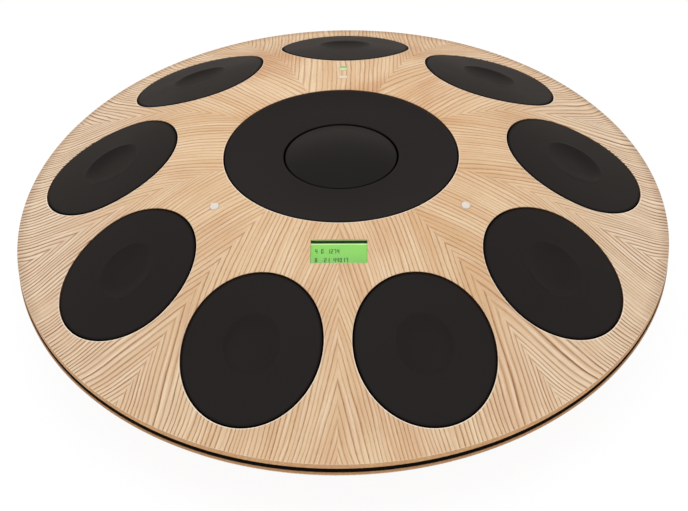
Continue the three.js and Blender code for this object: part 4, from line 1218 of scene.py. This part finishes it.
def display():
    """A dark green strip low on the far wall of the recess, painted shade, with the light guide above it;
    window, panel, and digits of dots.
    """
    strip_y = (FAR_STRIP - DISPLAY_LENGTH) / 2
    strip = soft_rectangle(DISPLAY_WIDTH - STRIP_SHORTER, FAR_STRIP, STRIP_CORNER, 0, strip_y, sides=4)
    room = 2 * (FAR_STRIP + PANE_GAP)
    pane = soft_rectangle(DISPLAY_WIDTH - 2 * PANE_GAP, DISPLAY_LENGTH - room, DISPLAY_CORNER)
    glass_low, panel_low = WINDOW_LIFT - PANEL_RECESS, -PANEL_RECESS - PANEL_THICKNESS
    strip_edge, edge = STRIP_BEVEL, PANE_BEVEL
    for name, material, shape, low, high, bevel, slot, *nodes in (
        # Dark green strip low on the far wall: painted shade of the recess
        ("display_far_shade", FAR_WALL_SHADE, strip, -PANEL_RECESS, -DISPLAY_LIP, strip_edge, "black_plastic"),
        ("display_guide", GUIDE_GREEN, strip, -DISPLAY_LIP, -GUIDE_SINK, strip_edge, "clear_window"),
        ("display_glass", GLASS, pane, glass_low, -WINDOW_RECESS, edge, "clear_window", "display_window"),
        ("display_lcd", LCD_GREEN, pane, panel_low, -PANEL_RECESS, edge, "display_panel", "display_module"),
    ):
        fit(plate(name, material, display_place, shape, low, high, bevel), "case", slot, *nodes)
    lift = DOT_THICKNESS / 2 - PANEL_RECESS
    dots = []
    for text, left, foot in DISPLAY_TEXT:
        for place, digit in enumerate(text):
            for across, up in digit_dots(digit):
                x = left + (place * DIGIT_STEP + across) * DOT_PITCH
                dots.append(display_place @ Vector((-x, -foot - up * DOT_PITCH, lift)))
    seed = bpy.data.meshes.new("display_dots_seed")
    seed.from_pydata(dots, [], [])
    lean = top_face.slope(display_radius)
    sizes = {"Dot Size": DOT_SIZE, "Dot Thickness": DOT_THICKNESS, "Lean": lean}
    fit(grown(dot_tree(), "display_dots", LCD_DARK, sizes, seed), "case", "display_panel")


def push_cap(name, material, place):
    """Round button with a softened top edge and a flange under the wood."""
    flange = BUTTON_RADIUS + BUTTON_FLANGE
    deep = -SHELL_WALL - BUTTON_DROP
    profile = [
        (BUTTON_POLE, BUTTON_RISE + BUTTON_CROWN),
        (BUTTON_RADIUS - BROW_INSET, BUTTON_RISE + BUTTON_BROW),
        *round_corner(BUTTON_RADIUS - BUTTON_ROUND, BUTTON_RISE - BUTTON_ROUND, BUTTON_ROUND, 80, 0),
        (BUTTON_RADIUS, deep), (flange, deep),
        (flange, deep - BUTTON_FLANGE), (BUTTON_POLE, deep - BUTTON_FLANGE),
    ]
    return turned(name, material, profile, SMALL_POINTS, place)


def controls():
    """Two white side buttons, the lit power button and the charge light in front of it."""
    for side, place in button_places.items():
        node = f"{side}_button"
        fit(push_cap(f"{side}_cap", WHITE_PLASTIC, place), node, "white_plastic", node)
    power = push_cap("power_cap", POWER_GREEN, rear_place @ Matrix.Translation((0, rear_up, 0)))
    fit(power, "power_button", "green_plastic", "power_button")
    lens = plate("charge_lens", LENS_PALE, rear_place, lens_shape(0), -SHELL_WALL, LENS_RISE, PANE_BEVEL)
    fit(lens, "case", "white_plastic", "charge_light")


def grille():
    """Slotted disc under the loudspeaker, with a rim up to the wood's inner face."""
    draft = Draft()
    low, high = (corner.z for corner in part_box("speaker_grille"))
    top = low + GRILLE_THICKNESS
    inner = GRILLE_RADIUS - GRILLE_RIM
    rims = [draft.ring(circle(*spot, GRILLE_POINTS)) for spot in (
        (GRILLE_RADIUS - GRILLE_ROUND, low), (GRILLE_RADIUS, low + GRILLE_ROUND), (GRILLE_RADIUS, high),
        (inner, high), (inner, top),
    )]
    draft.bridge(*rims)
    slots = []
    end = inner - GRILLE_MARGIN
    for index in range(2 * PAD_COUNT):
        length = SHORT_SLOT if index % 2 else LONG_SLOT
        shape = soft_rectangle(SLOT_WIDTH, length, SLOT_CORNER, 0, end - length / 2, sides=4)
        spin = Matrix.Rotation(index * SECTOR / 2, 4, "Z")
        slots.append([
            draft.ring([spin @ Vector((x, y, height)) for x, y in shape(growth)])
            for growth, height in ((SLOT_BEVEL, low), (0, low + SLOT_BEVEL), (0, top))
        ])
        draft.bridge(*slots[-1])
    for height, rim, place in ((low, rims[0], 0), (top, rims[-1], -1)):
        flat = Face(np.array([[0.0, 0.0, 0.0], [rim_radius, 0.0, 0.0]]), height, 1)
        draft.fill(flat, rim, [rings[place] for rings in slots], GRILLE_SPACING)
    fit(draft.piece("speaker_grille_disc", BLACK_PLASTIC), "case", "black_plastic", "speaker_grille")


def sockets():
    """Plated mouth of the headphone socket and contact tongue of the charge socket, seen from behind."""
    def mouth(node):
        spot = middle(node)
        spot.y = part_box(node)[1].y
        return Matrix.Translation(spot) @ Matrix.Rotation(-math.pi / 2, 4, "X")

    profile = [(radius * MM, height * MM) for radius, height in BUSH_PROFILE]
    bush = turned("jack_bush", PLATING, profile, SMALL_POINTS, mouth("headphone_socket"), closed=True)
    fit(bush, "case", "socket_metal")
    shape = soft_rectangle(TONGUE_WIDTH, TONGUE_THICKNESS, TONGUE_THICKNESS / 3, sides=4)
    ends = (-TONGUE_ROOT, -TONGUE_RECESS)
    tongue = plate("charge_tongue", BLACK_PLASTIC, mouth("charge_socket"), shape, *ends, PANE_BEVEL)
    fit(tongue, "case", "black_plastic")


def turned_rings(graph, segments, radii, heights, flats=()):
    """A turned form from lists of radii and heights; the rings named in flats are six-sided."""
    grid, turn, share = polar_sheet(graph, segments, len(radii) - 1)
    step = share * (len(radii) - 1) + 0.5
    radius = graph.pick(step, radii)
    if flats:
        sixth = math.pi / 3
        hexagon = 1 / (turn % sixth - sixth / 2).cos()
        six = graph.pick(step, [1.0 if index in flats else 0.0 for index in range(len(radii))])
        radius = radius * (six * hexagon + (1 - six))
    return moved(graph, grid, radius * turn.cos(), radius * turn.sin(), graph.pick(step, heights))


def ringed(graph, size, form, count):
    """Copies of a form, evenly spaced on a circle; closes the tree."""
    circle_points = graph.node("GeometryNodeMeshCircle", {"Vertices": count, "Radius": size["Ring"]})
    spin = graph.vector(0.0, 0.0, size["First"])
    rise = graph.vector(0.0, 0.0, size["Level"])
    sockets = {"Geometry": circle_points, "Rotation": spin, "Translation": rise}
    points = graph.node("GeometryNodeTransform", sockets)
    copies = graph.node("GeometryNodeInstanceOnPoints", {"Points": points, "Instance": form})
    close_tree(graph, copies, size["Finish"])


def ring_sizes(node):
    """Radius, first angle and level of the ring that a solid starts."""
    x, y, _ = middle(node)
    return {"Ring": math.hypot(x, y), "First": math.atan2(y, x), "Level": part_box(node)[0].z}


def case_screws():
    """Socket-head screws in the base, on the seams between the pads."""
    graph, size = geometry_tree("case_screws", [
        "Head Radius", "Head Height", "Shank Radius", "Length", "Socket", "Ring", "First", "Level",
    ])
    head, socket, shank = size["Head Radius"], size["Socket"] / 2, size["Shank Radius"]
    tall, length = size["Head Height"], size["Length"]
    form = turned_rings(
        graph, SCREW_POINTS,
        [0.0, socket, socket, socket * 1.12, head * 0.72, head * 0.93, head, head, shank, shank, 0.0],
        [tall * 0.6, tall * 0.6, tall * 0.08, 0.0, 0.0, tall * 0.14, tall * 0.4, tall, tall, length, length],
        flats=(1, 2, 3),
    )
    ringed(graph, size, form, PAD_COUNT)
    low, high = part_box("case_screw_1")
    screws = grown(graph.tree, "shell_screws", STEEL, {
        "Head Radius": SCREW_HEAD_RADIUS,
        "Head Height": SCREW_HEAD_HEIGHT,
        "Shank Radius": SCREW_SHANK_RADIUS,
        "Length": high.z - low.z,
        "Socket": SCREW_SOCKET,
        **ring_sizes("case_screw_1"),
    })
    fit(screws, "case", "screw_steel", *[f"case_screw_{index + 1}" for index in range(PAD_COUNT)])


def rubber_feet():
    """Turned rubber feet with a hollow underside."""
    graph, size = geometry_tree("rubber_feet", ["Radius", "Height", "Ring", "First", "Level"])
    wide, tall = size["Radius"], size["Height"]
    form = turned_rings(
        graph, SMALL_POINTS,
        [0.0, wide * 0.62, wide * 0.7, wide * 0.86, wide * 0.95, wide, wide, 0.0],
        [tall * 0.2, tall * 0.16, 0.0, 0.0, tall * 0.1, tall * 0.3, tall, tall],
    )
    ringed(graph, size, form, FOOT_COUNT)
    low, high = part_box("foot_1")
    sizes = {"Radius": (high.x - low.x) / 2, "Height": high.z, **ring_sizes("foot_1")}
    feet = grown(graph.tree, "rubber_feet", FOOT_RUBBER, sizes)
    fit(feet, "case", "foot_rubber", *[f"foot_{index + 1}" for index in range(FOOT_COUNT)])


for make in (
    top_wood, base_wood, seam_hoop, tone_pads, centre_pad, centre_dome,
    display, controls, grille, sockets, case_screws, rubber_feet,
):
    make()

# Finishes of the solids that stay as they are
NODE_FINISHES = {
    "sensor_tray": TRAY_GREY,
    "ding_sensor": SENSOR_FILM,
    "dome_sensor": SENSOR_FILM,
    "left_switch": CIRCUIT,
    "right_switch": CIRCUIT,
    "rear_switch": CIRCUIT,
    "main_board": CIRCUIT,
    "battery_pack": BATTERY_FILM,
    "speaker_driver": SPEAKER_BLACK,
    "socket_bay": BLACK_PLASTIC,
    "charge_socket": PLATING,
    "headphone_socket": BLACK_PLASTIC,
    **{f"tone_sensor_{index + 1}": SENSOR_FILM for index in range(PAD_COUNT)},
}
for node, material in NODE_FINISHES.items():
    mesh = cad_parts[node].data
    mesh.materials.clear()
    mesh.materials.append(material)


def camera():
    """The photograph's view of the rim's middle."""
    flat, sine, cosine = math.cos(CAMERA_ELEVATION), math.sin(CAMERA_AZIMUTH), math.cos(CAMERA_AZIMUTH)
    away = Vector((sine * flat, -cosine * flat, math.sin(CAMERA_ELEVATION)))
    right = Vector((cosine, sine, 0))
    dip = math.atan((PHOTO_HEIGHT / 2 - RIM_MIDDLE_PIXEL[1]) / FOCAL_PIXELS)
    pan = math.atan((RIM_MIDDLE_PIXEL[0] - PHOTO_WIDTH / 2) / FOCAL_PIXELS)
    aim = Matrix.Rotation(-dip, 3, right) @ -away
    turn = Matrix.Rotation(pan, 3, right.cross(aim))
    right, aim = turn @ right, turn @ aim
    roll = Matrix.Rotation(CAMERA_ROLL, 3, -aim)
    axes = Matrix((roll @ right, roll @ right.cross(aim), -aim)).transposed().to_4x4()
    lens = bpy.data.cameras.new("photo_camera")
    lens.sensor_width = SENSOR_WIDTH
    lens.lens = FOCAL_PIXELS / PHOTO_WIDTH * SENSOR_WIDTH
    made = placed("photo_camera", lens)
    made.matrix_world = Matrix.Translation(Vector((0, 0, seam_high)) + away * CAMERA_DISTANCE) @ axes
    bpy.context.scene.camera = made


LAMP_AIM = Vector((0, 0, 0.08))
WHITE = (1.0, 1.0, 1.0, 1.0)
WARM_WHITE = (1.0, 0.885, 0.8, 1.0)
FLOOR_GREY = (0.9, 0.9, 0.9, 1.0)
FLOOR_HALF = 4.0
FLOOR_GLOW = 1.02
FLOOR_GLOW_SHARE = 0.91
FLOOR_MIRRORED = 0.4
DAYLIGHT = 0.78
MIRRORED_LOW, MIRRORED_FALL = 0.5, 0.3
# Place, width and power of each lamp
LAMPS = {"top_lamp": ((0.0, -0.3, 2.4), 2.0, 19), "back_lamp": ((-0.25, 2.3, 1.0), 1.2, 12)}
RAYS = ("Is Camera Ray", "Is Glossy Ray", "Is Transmission Ray")


def soft_lamp(name, place, size, power):
    """A square lamp that faces the instrument; reflections show the surroundings in its place."""
    light = bpy.data.lights.new(name, "AREA")
    light.size = size
    light.energy = power
    lamp = placed(name, light)
    lamp.location = place
    lamp.rotation_mode = "QUATERNION"
    lamp.rotation_quaternion = (LAMP_AIM - Vector(place)).to_track_quat("-Z", "Y")
    lamp.visible_glossy = False


def studio():
    """White surroundings, dimmer and warmer in reflections, a pale floor, clear from below, and lamps."""
    world = bpy.data.worlds.new("studio")
    world.use_nodes = True
    bpy.context.scene.world = world
    graph = Graph(world.node_tree)
    seen, glossy, through = graph.node("ShaderNodeLightPath", output=RAYS)
    _, _, height = graph.split(graph.node("ShaderNodeTexCoord", output="Generated"))
    shown = seen.most(through)
    mirrored = MIRRORED_LOW - MIRRORED_FALL * height.ease(0.1, 0.8)
    strength = shown + (1 - shown) * (glossy * mirrored + (1 - glossy) * DAYLIGHT)
    colour = graph.blend(glossy * (1 - shown), WHITE, WARM_WHITE)
    light = graph.node("ShaderNodeBackground", {"Color": colour, "Strength": strength})
    graph.node("ShaderNodeOutputWorld", {"Surface": light}, output=None)

    material = bpy.data.materials.new("pale_floor")
    material.use_nodes = True
    graph = Graph(material.node_tree)
    seen, glossy, _ = graph.node("ShaderNodeLightPath", output=RAYS)
    diffuse = graph.node("ShaderNodeBsdfDiffuse", {"Color": FLOOR_GREY})
    white = graph.node("ShaderNodeEmission", {"Color": WHITE, "Strength": FLOOR_GLOW})
    dim = graph.node("ShaderNodeEmission", {"Color": WARM_WHITE, "Strength": FLOOR_MIRRORED})
    mixed = graph.node("ShaderNodeMixShader", {0: seen * FLOOR_GLOW_SHARE, 1: diffuse, 2: white})
    mirrored = graph.node("ShaderNodeMixShader", {0: glossy, 1: mixed, 2: dim})
    below = graph.node("ShaderNodeNewGeometry", output="Backfacing")
    clear = graph.node("ShaderNodeBsdfTransparent")
    one_sided = graph.node("ShaderNodeMixShader", {0: below, 1: mirrored, 2: clear})
    graph.node("ShaderNodeOutputMaterial", {"Surface": one_sided}, output=None)

    mesh = bpy.data.meshes.new("studio_floor")
    corners = [(x * FLOOR_HALF, y * FLOOR_HALF, 0) for x, y in ((-1, -1), (1, -1), (1, 1), (-1, 1))]
    mesh.from_pydata(corners, [], [(0, 1, 2, 3)])
    mesh.materials.append(material)
    placed("studio_floor", mesh)

    for name, lamp in LAMPS.items():
        soft_lamp(name, *lamp)


camera()
studio()
bpy.context.scene.view_settings.view_transform = "Standard"
